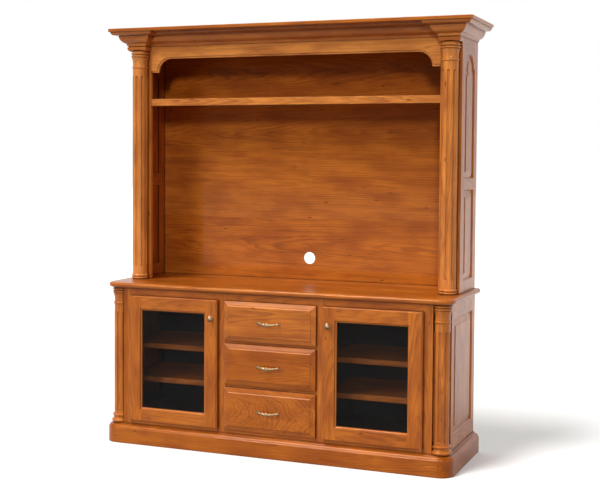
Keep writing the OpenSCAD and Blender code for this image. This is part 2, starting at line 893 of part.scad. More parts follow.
module door_right_frame() {
    door_frame();
}

module door_left_frame() {
    mirrored() door_frame();
}

module door_right_glass() {
    door_glass();
}

module door_left_glass() {
    mirrored() door_glass();
}

module door_right_knob() {
    door_knob();
}

module door_left_knob() {
    mirrored() door_knob();
}

module door_right_strike() {
    door_strike();
}

module door_left_strike() {
    mirrored() door_strike();
}

// Drawers
bevel_drop = 3;
bevel_low_z = front_t - drawer_step - bevel_drop;
edge_round = 2;
drawer_edge = concat(
    [[0, 0]],
    arc([0, bevel_low_z - edge_round], [edge_round, bevel_low_z], 0.6, 4),
    [[drawer_bevel, front_t - drawer_step]],
    arc([drawer_bevel + 0.5, front_t - drawer_step], [drawer_bevel + drawer_cove, front_t], -0.8, 6));

module drawer_front(i) {
    h = drawer_hs[i];
    color(wood) on_front(0, front_back_y, drawer_zs[i] + h / 2) mitred(drawer_w, h, drawer_edge);
}

// Open box with its bottom held in the walls, behind the drawer front
module drawer_box(i) {
    low = drawer_zs[i] + overlay + 12;
    high = drawer_zs[i] + drawer_hs[i] - overlay - 16;
    depth = face_back_y + slide_len - front_back_y;
    color(inner_wood) difference() {
        board([-box_x, front_back_y, low], [box_x, front_back_y + depth, high]);
        board([-box_x + box_t, front_back_y + box_t, low + box_bottom_t + 6],
            [box_x - box_t, front_back_y + depth - box_t, high + past]);
        board([-box_x + box_t, front_back_y + box_t, low - past],
            [box_x - box_t, front_back_y + depth - box_t, low + 6]);
    }
}

// Cast bow pull: stations along its length, each an ellipse that swells into leaves
pull_steps = 24;
pull_sides = 10;
function pull_bow(t) = 6 + (pull_out - 9) * pow(cos(90 * t), 0.8);
function pull_drop(t) = -5 * pow(cos(90 * t), 2);
function pull_half_h(t) = 2.6 + 4.2 * pow(cos(min(90, abs(200 * t))), 2) + 2.6 * pow(sin(90 * abs(t)), 10);
function pull_half_d(t) = 2 + 1 * pow(cos(90 * t), 2);
pull_rings = [for (k = [0:pull_steps]) let (t = 2 * k / pull_steps - 1, fade = 1 - pow(abs(t), 16))
    [for (s = [0:pull_sides - 1]) let (a = 360 * s / pull_sides)
        [t * pull_len / 2, pull_drop(t) + (0.35 + 0.65 * fade) * pull_half_h(t) * sin(a),
            pull_bow(t) + (0.35 + 0.65 * fade) * pull_half_d(t) * cos(a)]]];

function flat_list(rows) = [for (row = rows) for (p = row) p];

module pull_bar() {
    first = [for (s = [1:pull_sides]) pull_sides - s];
    last = [for (s = [0:pull_sides - 1]) pull_steps * pull_sides + s];
    sides = [for (k = [0:pull_steps - 1], s = [0:pull_sides - 1])
        let (n = (s + 1) % pull_sides, a = k * pull_sides, b = a + pull_sides)
        each [[a + s, a + n, b + n], [a + s, b + n, b + s]]];
    polyhedron(flat_list(pull_rings), concat([first, last], sides));
}

module drawer_pull(i) {
    t = post_span / pull_len;
    color(brass) on_front(0, front_y, drawer_zs[i] + drawer_hs[i] / 2) {
        pull_bar();
        for (x = [-post_span / 2, post_span / 2])
            translate([x, pull_drop(t), 0]) {
                cylinder(h = pull_bow(t), r = 3.2);
                cylinder(h = 2, r = 6);
            }
    }
}

plinth();
base_bottom();
base_side_left();
base_side_right();
base_panel_left();
base_panel_right();
partition_left();
partition_right();
base_back();
base_face_frame();
base_column_left();
base_column_right();
base_top();
shelf_left_upper();
shelf_left_lower();
shelf_right_upper();
shelf_right_lower();
shelf_pins();
cabinet_slides();
pivot_plates();
door_catches();
hutch_side_left();
hutch_side_right();
arch_panel_left();
arch_panel_right();
low_panel_left();
low_panel_right();
hutch_stile_left();
hutch_stile_right();
valance();
hutch_shelf();
hutch_back();
hutch_column_left();
hutch_column_right();
crown_cap();
crown_center();
crown_left();
crown_right();
door_left_frame();
door_left_glass();
door_left_knob();
door_left_strike();
door_right_frame();
door_right_glass();
door_right_knob();
door_right_strike();
drawer_front(2);  // drawer_top_front
drawer_box(2);  // drawer_top_box
drawer_pull(2);  // drawer_top_pull
drawer_slides(2);  // drawer_top_slides
drawer_front(1);  // drawer_middle_front
drawer_box(1);  // drawer_middle_box
drawer_pull(1);  // drawer_middle_pull
drawer_slides(1);  // drawer_middle_slides
drawer_front(0);  // drawer_bottom_front
drawer_box(0);  // drawer_bottom_box
drawer_pull(0);  // drawer_bottom_pull
drawer_slides(0);  // drawer_bottom_slides
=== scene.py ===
"""Looks, light and camera for the television stand with hutch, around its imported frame.

Lengths are written in millimetres, as a cabinet maker gives them, and turned to metres as they reach Blender.
The frame's axes hold throughout: +X to the right, +Y to the back, +Z up, the origin on the floor.
"""

from __future__ import annotations

import logging
import math
import random
from collections.abc import Callable, Iterable, Sequence
from dataclasses import dataclass
from enum import Enum
from functools import partial
from typing import Any

import bmesh
import bpy
from mathutils import Matrix, Vector

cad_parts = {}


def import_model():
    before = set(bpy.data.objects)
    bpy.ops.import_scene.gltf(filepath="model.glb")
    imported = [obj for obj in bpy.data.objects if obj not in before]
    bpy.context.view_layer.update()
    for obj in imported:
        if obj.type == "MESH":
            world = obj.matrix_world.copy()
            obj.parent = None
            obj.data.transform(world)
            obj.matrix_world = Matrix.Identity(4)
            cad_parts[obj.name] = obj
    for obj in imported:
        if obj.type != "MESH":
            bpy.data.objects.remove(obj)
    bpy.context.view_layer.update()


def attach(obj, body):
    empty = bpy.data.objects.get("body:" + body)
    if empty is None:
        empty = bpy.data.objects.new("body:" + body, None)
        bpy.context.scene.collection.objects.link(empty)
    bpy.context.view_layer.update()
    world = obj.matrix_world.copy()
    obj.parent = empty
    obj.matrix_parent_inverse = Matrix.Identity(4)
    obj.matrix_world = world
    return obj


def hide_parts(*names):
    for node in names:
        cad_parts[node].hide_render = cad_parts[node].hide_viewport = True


LOG = logging.getLogger("television_stand")
MM = 0.001
# Beyond every face of the unit, mm
FAR = 3000.0
SIDES = {"left": -1, "right": 1}

Point = tuple[float, float]
Corner = tuple[float, float, float]
Shade = tuple[float, float, float, float]


# --- Colour and nodes -------------------------------------------------------------------------------------------


def linear(colour: str) -> Shade:
    """Turns an sRGB hex colour into the linear values that Blender's sockets take.

    Args:
        colour: The colour as "#rrggbb".

    Returns:
        Linear red, green and blue, and an alpha of 1.
    """
    parts = [int(colour[i : i + 2], 16) / 255 for i in (1, 3, 5)]
    red, green, blue = (c / 12.92 if c <= 0.04045 else ((c + 0.055) / 1.055) ** 2.4 for c in parts)
    return red, green, blue, 1.0


def feed(node: bpy.types.Node, inputs: dict[str | int, Any]) -> None:
    """Sets and links a node's inputs.

    Args:
        node: The node.
        inputs: What its sockets get, by name or number. An output socket is linked.
    """
    for name, value in inputs.items():
        if isinstance(value, bpy.types.NodeSocket):
            node.id_data.links.new(value, node.inputs[name])
        else:
            node.inputs[name].default_value = value


def add_node(
    tree: bpy.types.NodeTree,
    kind: str,
    inputs: Sequence[Any] | dict[str | int, Any] = (),
    out: str | int = 0,
    **settings: Any,
) -> bpy.types.NodeSocket:
    """Adds a node with its settings and links.

    Args:
        tree: The node tree that gets the node.
        kind: Blender's name of the node type, without "ShaderNode".
        inputs: What its sockets get, in their order, or by name or number.
        out: Name or number of the output that is wanted.
        **settings: Attributes of the node.

    Returns:
        That output.
    """
    node = tree.nodes.new(f"ShaderNode{kind}")
    for name, value in settings.items():
        setattr(node, name, value)
    feed(node, inputs if isinstance(inputs, dict) else dict(enumerate(inputs)))
    return node.outputs[out]


def start_material(name: str) -> tuple[bpy.types.Material, partial, bpy.types.Node]:
    """Makes a material that holds only an output and a Principled shader.

    Args:
        name: The material's name.

    Returns:
        The material, add_node for its tree, and the shader.
    """
    material = bpy.data.materials.new(name)
    material.use_nodes = True
    tree = material.node_tree
    return material, partial(add_node, tree), tree.nodes["Principled BSDF"]


# --- Finishes ---------------------------------------------------------------------------------------------------

# Settings of nodes: eased between its ends, and a mix of two colours
EASED = {"interpolation_type": "SMOOTHSTEP"}
COLOURS = {"out": 2, "data_type": "RGBA"}


@dataclass(frozen=True)
class Hardwood:
    """Planed and finished hardwood.

    Its colour follows the trunk that each board was cut from: the mesh holds every point's place in that trunk,
    so the growth rings make arches on a broad face and lines on an edge. The rings are 3 mm apart in the tree;
    they are drawn 7 mm apart here, so that they show from across a room.

    Attributes:
        name: Name of the material.
        early: Colour of the soft early wood.
        ground: Colour of the wood between early and late.
        late: Colour of the dense late wood.
        fleck: Colour of pin knots and gum flecks.
        hollow: Share of light that the glaze and the painted shade in hollows and corners leave.
        ring: Distance of two growth rings, mm.
        figure: Strength of the rings, 0 to 1.
        flecks: Strength of the flecks, 0 to 1.
        ior: Refractive index of the lacquer.
        gloss: Roughness of the bare surface.
        shine: Strength of its reflections, where 0.5 is that of glass.
        warmth: Colour that the stained lacquer gives those reflections.
        coat: Weight of the lacquer over it.
        coat_gloss: Roughness of the lacquer.
    """

    name: str
    early: str
    ground: str
    late: str
    fleck: str
    hollow: float
    ring: float = 7.0
    figure: float = 0.56
    flecks: float = 0.7
    ior: float = 1.5
    gloss: float = 0.36
    shine: float = 0.5
    warmth: str = "#ffa050"
    coat: float = 0.24
    coat_gloss: float = 0.1

    def make(self) -> bpy.types.Material:
        """Builds the material, which reads the mesh attributes "trunk" and "tone".

        Returns:
            The material.
        """
        material, node, shader = start_material(self.name)
        trunk = node("Attribute", out="Vector", attribute_name="trunk")
        tone = node("Attribute", out="Fac", attribute_name="tone")

        # Patterns drawn out along the grain: length and thickness of what they show, mm, detail and roughness.
        # Real fibres are 0.1 mm thick; they are drawn 1.6 mm thick, so that they show.
        patterns = {
            "wander": (420, 60, 2.0, 0.5),
            "ripple": (110, 12, 2.0, 0.5),
            "cloud": (210, 75, 2.0, 0.5),
            "streak": (520, 15, 3.0, 0.5),
            "fibre": (55, 1.6, 3.0, 0.6),
            "fleck": (85, 30, 0.0, 0.0),
        }
        drawn = {}
        for name, (along, across, detail, rough) in patterns.items():
            scale = (1 / (along * MM), 1 / (across * MM), 1 / (across * MM))
            place = {"Vector": node("VectorMath", (trunk, scale), operation="MULTIPLY"), "Scale": 1.0}
            if name == "fleck":
                drawn[name] = node("TexVoronoi", place)
            else:
                drawn[name] = node("TexNoise", {**place, "Detail": detail, "Roughness": rough}, "Fac")

        # Rings counted outwards from the pith, uneven as in a living trunk, some years stronger than others
        section = node("VectorMath", (trunk, (0.0, 1.0, 1.0)), operation="MULTIPLY")
        radius = node("VectorMath", (section,), "Value", operation="LENGTH")
        uneven = node("Math", (drawn["wander"], 4.0, drawn["ripple"]), operation="MULTIPLY_ADD")
        rings = node("Math", (radius, 1 / (self.ring * MM), uneven), operation="MULTIPLY_ADD")
        count = node("Math", (rings, 2.5), operation="SUBTRACT")
        year = node("Math", (count,), operation="FRACT")
        yearly = node("TexNoise", {"W": count, "Scale": 0.45}, "Fac", noise_dimensions="1D")
        late = node("MapRange", (yearly, 0.3, 0.7, 0.25, 1.0), **EASED)
        for start, end in ((0.25, 0.9), (1.0, 0.9)):
            late = node("Math", (late, node("MapRange", (year, start, end), **EASED)), operation="MULTIPLY")

        # Pin knots and gum flecks, in few of the cells
        cells = drawn["fleck"].node.outputs
        chosen = node("MapRange", (node("SeparateColor", (cells["Color"],)), 0.78, 0.84), **EASED)
        spot = node("MapRange", (cells["Distance"], 0.17, 0.06, 0.0, self.flecks), **EASED)
        streak = node("MapRange", (drawn["streak"], 0.46, 0.72, 0.0, 0.5 * self.figure), **EASED)
        layers = (
            (node("MapRange", (drawn["cloud"], 0.3, 0.7), **EASED), self.early, "MIX"),
            (node("Math", (late, self.figure), operation="MULTIPLY"), self.late, "MIX"),
            (streak, self.late, "MIX"),
            (node("MapRange", (drawn["fibre"], 0.35, 0.7, 0.0, 0.3), **EASED), "#c4a58c", "MULTIPLY"),
            (node("Math", (spot, chosen), operation="MULTIPLY"), self.fleck, "MIX"),
        )
        colour = linear(self.ground)
        for share, tint, blend in layers:
            colour = node("Mix", {0: share, 6: colour, 7: linear(tint)}, **COLOURS, blend_type=blend)

        # Boards differ a little from each other, each by its tone, which also carries its piece's painted light
        # and shade
        shifts = {"Color": colour}
        for name, step, middle in (("Hue", 0.0022, 0.502), ("Saturation", -0.012, 1.0), ("Value", 0.13, 1.0)):
            shifts[name] = node("Math", (tone, step, middle), operation="MULTIPLY_ADD")
        colour = node("HueSaturation", shifts)

        # Glaze and painted shade darken hollows within 10 mm of a corner, and stain is rubbed off within 3 mm of
        # an edge
        hollow = node("AmbientOcclusion", {"Distance": 10 * MM}, "AO", samples=6)
        edge = node("AmbientOcclusion", {"Distance": 3 * MM}, "AO", samples=6, inside=True)
        glaze_and_shade_mask = node("MapRange", (hollow, 0.9, 0.42), **EASED)
        rubbed = node("MapRange", (edge, 0.62, 0.3, 0.0, 0.5), **EASED)
        glaze_and_shade_tint = (self.hollow, self.hollow * 0.85, self.hollow * 0.75, 1.0)
        for share, tint, blend in ((glaze_and_shade_mask, glaze_and_shade_tint, "MULTIPLY"), (rubbed, linear(self.early), "MIX")):
            colour = node("Mix", {0: share, 6: colour, 7: tint}, **COLOURS, blend_type=blend)

        ridges = node("Math", (drawn["fibre"], 0.6), operation="MULTIPLY")
        height = node("Math", (late, 0.4, ridges), operation="MULTIPLY_ADD")
        surface = {
            "Base Color": colour,
            "Roughness": node("Math", (drawn["fibre"], 0.18, self.gloss - 0.09), operation="MULTIPLY_ADD"),
            "IOR": self.ior,
            "Specular IOR Level": self.shine,
            "Specular Tint": linear(self.warmth),
            "Coat Weight": self.coat,
            "Coat Roughness": self.coat_gloss,
            "Normal": node("Bump", {"Strength": 0.25, "Distance": 0.2 * MM, "Height": height}),
        }
        feed(shader, surface)
        return material


@dataclass(frozen=True)
class Metal:
    """Metal as a furniture fitting has it, darkened where hands and polish don't reach, and on its undersides
    also by painted shade.

    Attributes:
        name: Name of the material.
        bright: Colour of the rubbed metal.
        dark: Colour of the patina or plating in the hollows.
        gloss: Roughness where it is rubbed.
        dull: Roughness where it is dark.
        reach: Width of the hollows that stay dark, mm.
        spread: Share of dark patches on open surfaces, 0 to 1.
        under: Share of the dark colour on undersides, 0 to 1: patina where no hand rubs, and painted shade.
        patch: Size of the patches, mm.
        grit: Size of the casting's grain, mm, drawn coarser than the real 0.3 mm so that it shows.
    """

    name: str
    bright: str
    dark: str
    gloss: float
    dull: float
    reach: float
    spread: float
    under: float = 0.0
    patch: float = 7.0
    grit: float = 1.2

    def make(self) -> bpy.types.Material:
        """Builds the material.

        Returns:
            The material.
        """
        material, node, shader = start_material(self.name)
        place = node("TexCoord", out="Object")
        patches = node("TexNoise", {"Vector": place, "Scale": 1 / (self.patch * MM), "Detail": 4.0}, "Fac")
        grain = node("TexNoise", {"Vector": place, "Scale": 1 / (self.grit * MM), "Detail": 2.0}, "Fac")
        upward = node("SeparateXYZ", (node("NewGeometry", out="Normal"),), "Z")
        hollow = node("AmbientOcclusion", {"Distance": self.reach * MM}, "AO", samples=8)
        dark = node("MapRange", (hollow, 0.85, 0.35))
        # Dark in the hollows and in patches as patina, and on undersides as patina and painted shade
        for value, low, high, most in ((patches, 0.45, 0.75, self.spread), (upward, 0.25, -0.7, self.under)):
            dark = node("Math", (dark, node("MapRange", (value, low, high, 0.0, most))), operation="MAXIMUM")
        surface = {
            "Base Color": node("Mix", {0: dark, 6: linear(self.bright), 7: linear(self.dark)}, **COLOURS),
            "Roughness": node("MapRange", (dark, 0.0, 1.0, self.gloss, self.dull)),
            "Metallic": 1.0,
            "Normal": node("Bump", {"Strength": 0.15, "Distance": 0.1 * MM, "Height": grain}),
        }
        feed(shader, surface)
        return material


@dataclass(frozen=True)
class SmokedGlass:
    """Smoked float glass, dark but clear, polished by the bath that it was poured on.

    Attributes:
        name: Name of the material.
        body: Colour of the glass itself.
        cover: Share of light that each of its two faces holds back.
        ior: Refractive index of soda-lime glass.
        shine: Strength of its reflections, low because a soft cloth has coated it.
        smear: Size of the smears that a cloth leaves, mm.
    """

    name: str
    body: str
    cover: float
    ior: float = 1.52
    shine: float = 0.2
    smear: float = 90.0

    def make(self) -> bpy.types.Material:
        """Builds the material.

        Returns:
            The material.
        """
        material, node, shader = start_material(self.name)
        place = node("TexCoord", out="Object")
        smears = node("TexNoise", {"Vector": place, "Scale": 1 / (self.smear * MM), "Detail": 3.0}, "Fac")
        surface = {
            "Base Color": linear(self.body),
            "Roughness": node("MapRange", (smears, 0.0, 1.0, 0.01, 0.08)),
            "Alpha": self.cover,
            "IOR": self.ior,
            "Specular IOR Level": self.shine,
        }
        feed(shader, surface)
        return material


# Cherry, planed, stained a warm brown, glazed and lacquered: deep colour, a satin sheen, and hollows darkened by
# glaze and painted shade
STAINED_CHERRY = Hardwood(
    "stained_cherry", early="#c06a22", ground="#a2521a", late="#642a12", fleck="#2c0f04", hollow=0.16
)
# Birch plywood, sanded and drawn nearly black and dull, which paints the shade inside the closed bays; its fibres
# show only close up
SHADE_BLACK_BIRCH = Hardwood(
    "shade_black_birch_plywood",
    early="#211d1a",
    ground="#1c1917",
    late="#100e0d",
    fleck="#0b0a09",
    hollow=0.9,
    figure=0.3,
    flecks=0.2,
    gloss=0.55,
    shine=0.3,
    warmth="#ffffff",
    coat=0.05,
)
# Maple, planed and lacquered clear: pale, even and smooth
CLEAR_MAPLE = Hardwood(
    "clear_lacquered_maple",
    early="#dcb684",
    ground="#d2a672",
    late="#b98852",
    fleck="#7b5630",
    hollow=0.8,
    figure=0.4,
    flecks=0.3,
    gloss=0.42,
    warmth="#fff1dc",
    coat=0.2,
)
# Brass, cast, darkened in a bath and rubbed bright where hands reach: warm metal, brown in hollows, and brown
# below from patina and painted shade
ANTIQUE_BRASS = Metal("antique_brass_casting", "#b2916c", "#33241a", 0.36, 0.5, reach=6, spread=0.6, under=0.95)
# Steel, pressed and zinc plated: cool grey with faint clouds
ZINC_STEEL = Metal("zinc_plated_pressed_steel", "#c3c6c8", "#85888a", 0.3, 0.45, reach=5, spread=0.5)
# Float glass, smoked in the melt: clear, dark and flat, with a faint smear of polish
SMOKED_GLASS = SmokedGlass("smoked_float_glass", body="#0a0909", cover=0.22)


class Finish(Enum):
    """The finishes of the unit, each with the record's slot that it stands for."""

    CHERRY = (STAINED_CHERRY, "stained_wood")
    BLACK = (SHADE_BLACK_BIRCH, "black_wood")
    MAPLE = (CLEAR_MAPLE, "inner_wood")
    BRASS = (ANTIQUE_BRASS, "antique_brass")
    STEEL = (ZINC_STEEL, "zinc_steel")
    GLASS = (SMOKED_GLASS, "tinted_glass")

    def material(self) -> bpy.types.Material:
        """The finish's material, made when it is first asked for."""
        return bpy.data.materials.get(self.value[0].name) or self.value[0].make()

    @property
    def slot(self) -> str:
        """The record's material slot."""
        return self.value[1]


# --- Boards and their grain -------------------------------------------------------------------------------------

# How near two points lie, in metres, to be one: on a board's edge, in a solid and in a fine profile
NEAR, SAME, FINE = 1e-4, 1e-6, 1e-7
# Tone offsets by the start of a piece's name: partly boards lighter or darker than the rest, partly painted light
# that lifts pieces standing in shade and darkens pieces that catch more light
TONE_BY_PIECE = {
    "plinth": -1.9,
    "crown": 1.3,
    "valance": 3.6,
    "hutch_shelf": 3.2,
    "hutch_stile": 1.8,
    "hutch_column_left": 4.6,
    "hutch_column": 2.2,
    "base_column": 1.2,
    "drawer_middle_board": -1.3,
    "drawer_bottom_board": -0.8,
}


class Grain(Enum):
    """The way a board's fibres run. Where it is mitred round corners, they follow the face's own direction."""

    WIDTH = 0
    DEPTH = 1
    HEIGHT = 2
    MITRED = 3


@dataclass(frozen=True)
class Board:
    """One board of a piece, with its limits along each axis, mm.

    Attributes:
        grain: The way its fibres run.
        x: Where it begins and ends along X.
        y: The same along Y.
        z: The same along Z.
        slope: How steeply it crosses the growth rings, which makes arches that point along its axis. At 0 it
            is drawn by chance.
    """

    grain: Grain
    x: Point = (-FAR, FAR)
    y: Point = (-FAR, FAR)
    z: Point = (-FAR, FAR)
    slope: float = 0.0

    @property
    def limits(self) -> tuple[Point, Point, Point]:
        """Its limits along the three axes."""
        return self.x, self.y, self.z

    def holds(self, point: Vector) -> bool:
        """True if a point, in metres, lies in the board."""
        return all(a * MM - NEAR <= at <= b * MM + NEAR for at, (a, b) in zip(point, self.limits))


def planks(grain: Grain, axis: str, low: float, high: float, count: int) -> list[Board]:
    """Splits a glued-up panel into its planks.

    Args:
        grain: The way the planks run.
        axis: Name of the axis that they lie side by side along.
        low: Where the first one begins, mm.
        high: Where the last one ends, mm.
        count: Number of planks.

    Returns:
        The planks.
    """
    step = (high - low) / count
    return [Board(grain, **{axis: (low + i * step, low + (i + 1) * step)}) for i in range(count)]


def grow_grain(mesh: bpy.types.Mesh, boards: Sequence[Board], seed: str) -> None:
    """Gives each point of a mesh its place in the trunk that its board was sawn from, and its tone.

    Args:
        mesh: The mesh, in metres.
        boards: The boards that the piece is made of.
        seed: A name that each board's cut and tone are drawn from.
    """
    trunk = [0.0] * (3 * len(mesh.loops))
    tone = [0.0] * len(mesh.loops)
    box = [(min(v.co[i] for v in mesh.vertices), max(v.co[i] for v in mesh.vertices)) for i in range(3)]
    # The piece's tone offset: painted light and shade over the boards' own tone
    piece_tone = next((shade for start, shade in TONE_BY_PIECE.items() if seed.startswith(start)), 0.0)
    cuts: dict[tuple[int, int], tuple] = {}
    for face in mesh.polygons:
        index = next((n for n, b in enumerate(boards) if b.holds(face.center)), len(boards) - 1)
        board = boards[index]
        axis, side = board.grain.value, 0
        if board.grain is Grain.MITRED:
            # The front and each side of a corner are boards of their own
            axis = int(abs(face.normal.x) > abs(face.normal.y))
            side = axis * (1 if face.normal.x > 0 else 2)
        key = (index, axis * 3 + side)
        if key not in cuts:
            ends = [(max(a * MM, lo), min(b * MM, hi)) for (a, b), (lo, hi) in zip(board.limits, box)]
            spans = [hi - lo for lo, hi in ends]
            across, through = sorted((i for i in range(3) if i != axis), key=lambda i: -spans[i])
            # Where the pith lies behind the board's face, how the board leans to it, and how dark the board is,
            # with its piece's tone offset of painted light and shade
            dice = random.Random(f"{seed} {key}")
            slope = board.slope or dice.uniform(0.01, 0.06) * dice.choice((-1, 1))
            depth = dice.uniform(45, 100) * MM + abs(board.slope) * spans[axis] / 2
            pith = (dice.uniform(-0.3, 0.3) * spans[across], depth)
            tilts = (dice.uniform(-0.02, 0.02), slope)
            middle = [(lo + hi) / 2 for lo, hi in ends]
            start, shade = dice.uniform(0, 40), dice.gauss(0, 0.45) + piece_tone
            cuts[key] = (across, through, pith, tilts, middle, start, shade)
        across, through, pith, tilts, middle, start, shade = cuts[key]
        for loop in face.loop_indices:
            point = mesh.vertices[mesh.loops[loop].vertex_index].co
            along = point[axis] - middle[axis]
            trunk[3 * loop : 3 * loop + 3] = (
                along + start,
                point[across] - middle[across] + pith[0] + tilts[0] * along,
                point[through] - middle[through] + pith[1] + tilts[1] * along,
            )
            tone[loop] = shade
    mesh.attributes.new("trunk", "FLOAT_VECTOR", "CORNER").data.foreach_set("vector", trunk)
    mesh.attributes.new("tone", "FLOAT", "CORNER").data.foreach_set("value", tone)


def split_at(bm: bmesh.types.BMesh, boards: Sequence[Board]) -> None:
    """Cuts a mesh's faces along the joints between its boards, so that each face lies in one board.

    Args:
        bm: The mesh.
        boards: The boards.
    """
    for axis in range(3):
        low = min(v.co[axis] for v in bm.verts)
        high = max(v.co[axis] for v in bm.verts)
        for place in sorted({place for board in boards for place in board.limits[axis]}):
            if low + NEAR < place * MM < high - NEAR:
                normal = Vector((axis == 0, axis == 1, axis == 2))
                whole = bm.verts[:] + bm.edges[:] + bm.faces[:]
                bmesh.ops.bisect_plane(bm, geom=whole, plane_co=normal * place * MM, plane_no=normal, dist=SAME)


# --- Pieces -----------------------------------------------------------------------------------------------------


def finish_piece(
    name: str,
    bm: bmesh.types.BMesh,
    nodes: Iterable[str],
    boards: Sequence[Board] = (),
    finish: Finish = Finish.CHERRY,
    body: str = "cabinet",
    ease: float = 0.0,
    smooth_deg: float = 32.0,
    saw: bool = True,
) -> bpy.types.Object:
    """Turns a mesh into a piece of the unit.

    Args:
        name: Name of the piece.
        bm: Its mesh, in metres. It is freed.
        nodes: The frame's nodes that it stands for.
        boards: Its boards, for a wooden piece.
        finish: Its finish.
        body: The body that it moves with.
        ease: Radius of its eased edges, as a sanding block leaves them, mm, or 0.
        smooth_deg: Largest angle between faces that is shown rounded.
        saw: Whether its faces are parted where two boards meet.

    Returns:
        The piece.
    """
    if boards and saw:
        split_at(bm, boards)
    bmesh.ops.recalc_face_normals(bm, faces=bm.faces)
    mesh = bpy.data.meshes.new(name)
    bm.to_mesh(mesh)
    bm.free()
    if boards:
        grow_grain(mesh, boards, name)
    for face in mesh.polygons:
        face.use_smooth = True
    mesh.set_sharp_from_angle(angle=math.radians(smooth_deg))
    mesh.materials.append(finish.material())
    piece = bpy.data.objects.new(name, mesh)
    bpy.context.scene.collection.objects.link(piece)
    if ease:
        bevel = piece.modifiers.new("eased edges", "BEVEL")
        bevel.width = ease * MM
        bevel.segments = 2
        bevel.limit_method = "ANGLE"
        bevel.angle_limit = math.radians(smooth_deg)
        flat = piece.modifiers.new("flat faces", "WEIGHTED_NORMAL")
        flat.keep_sharp = True
        flat.weight = 100
    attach(piece, body)
    for node in nodes:
        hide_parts(node)
    return piece


def cut_from(
    node: str,
    boards: Sequence[Board],
    finish: Finish = Finish.CHERRY,
    body: str = "cabinet",
    ease: float = 1.2,
) -> bpy.types.Object:
    """Makes a piece of the shape of a node, out of boards with eased edges.

    Args:
        node: The node that the piece copies and stands for.
        boards: The boards.
        finish: Its finish.
        body: The body that it moves with.
        ease: Radius of the eased edges, mm.

    Returns:
        The piece.
    """
    flat_deg, edge_deg = 0.6, 12.0
    bm = bmesh.new()
    bm.from_mesh(bpy.data.objects[node].data)
    bmesh.ops.remove_doubles(bm, verts=bm.verts, dist=SAME)
    bmesh.ops.dissolve_limit(bm, angle_limit=math.radians(flat_deg), verts=bm.verts, edges=bm.edges)
    return finish_piece(f"{node}_boards", bm, (node,), boards, finish, body, ease, edge_deg)


def dress_node(node: str, finish: Finish) -> None:
    """Gives a node of the frame its finish and leaves its shape alone.

    Args:
        node: The node.
        finish: Its finish.
    """
    piece = bpy.data.objects[node]
    piece.data.materials.clear()
    piece.data.materials.append(finish.material())


def arc(start: Point, end: Point, bow: float, steps: int = 8) -> list[Point]:
    """Points of a circular arc.

    Args:
        start: First point.
        end: Last point.
        bow: How far the arc stands off its chord, to its left if positive.
        steps: Number of chords.

    Returns:
        The points, both ends included.
    """
    a, b = Vector(start), Vector(end)
    chord = b - a
    half = chord.length / 2
    radius = (half * half + bow * bow) / (2 * abs(bow))
    left = Vector((-chord.y, chord.x)).normalized() * math.copysign(1, bow)
    centre = (a + b) / 2 + left * (abs(bow) - radius)
    reach = math.asin(min(1, half / radius))
    forward = chord.normalized()
    turns = [-reach + 2 * reach * i / steps for i in range(steps + 1)]
    return [tuple(centre + radius * (left * math.cos(t) + forward * math.sin(t))) for t in turns]


def loft(rings: Sequence[Sequence[Corner]], joined: bool = False) -> bmesh.types.BMesh:
    """Skins a row of closed rings that all have the same number of points.

    Args:
        rings: The rings, in mm.
        joined: Whether the last ring joins on to the first. Otherwise both are filled.

    Returns:
        The skin, in metres.
    """
    bm = bmesh.new()
    rows = [[bm.verts.new(Vector(p) * MM) for p in ring] for ring in rings]
    for low, high in list(zip(rows, rows[1:])) + [(rows[-1], rows[0])] * joined:
        for i in range(len(low)):
            j = (i + 1) % len(low)
            bm.faces.new((low[i], low[j], high[j], high[i]))
    if not joined:
        bm.faces.new(list(reversed(rows[0])))
        bm.faces.new(rows[-1])
    bmesh.ops.remove_doubles(bm, verts=bm.verts, dist=FINE)
    return bm


def mitred(width: float, height: float, profile: Sequence[Point]) -> list[list[Corner]]:
    """Rings of a rectangular block whose four sides follow one profile.

    Args:
        width: Width of the block, mm.
        height: Height of the block, mm.
        profile: Points as (inset, thickness) from back to front, mm.

    Returns:
        The rings, in the plane of X and Z with the front towards -Y, centred on the origin.
    """
    sizes = [(width / 2 - inset, height / 2 - inset, out) for inset, out in profile]
    return [[(-x, -out, -z), (x, -out, -z), (x, -out, z), (-x, -out, z)] for x, z, out in sizes]


def block(low: Corner, high: Corner) -> bmesh.types.BMesh:
    """A plain board between two corners, mm, ready to have its edges eased."""
    (x0, y0, z0), (x1, y1, z1) = low, high
    return loft([[(x0, y0, z), (x1, y0, z), (x1, y1, z), (x0, y1, z)] for z in (z0, z1)])


def turned(
    profile: Sequence[Point], sides: int, depth: Callable[[float, int], tuple[float, float]] | None = None
) -> bmesh.types.BMesh:
    """Turns a profile about the Z axis.

    Args:
        profile: Points as (radius, height) from the foot up, mm.
        sides: Number of points round the axis.
        depth: For a height and a point's number, the angle in degrees and how deep a flute is there.

    Returns:
        The turned piece, in metres, standing on the origin.
    """
    rings = []
    for radius, z in profile:
        ring = []
        for i in range(sides):
            angle, deep = depth(z, i) if depth else (360 * i / sides, 0.0)
            r = max(radius - deep, 0.01)
            ring.append((r * math.cos(math.radians(angle)), r * math.sin(math.radians(angle)), z))
        rings.append(ring)
    return loft(rings)


def placed(bm: bmesh.types.BMesh, x: float, y: float, z: float, facing: bool = False) -> bmesh.types.BMesh:
    """Moves a mesh.

    Args:
        bm: The mesh, in metres.
        x: Where its origin goes, mm.
        y: The same along Y.
        z: The same along Z.
        facing: Whether a piece that was turned about Z is tipped to stand out of the front.

    Returns:
        The same mesh.
    """
    matrix = Matrix.Translation((x * MM, y * MM, z * MM))
    if facing:
        matrix = matrix @ Matrix.Rotation(math.radians(90), 4, "X")
    bmesh.ops.transform(bm, matrix=matrix, verts=bm.verts)
    return bm


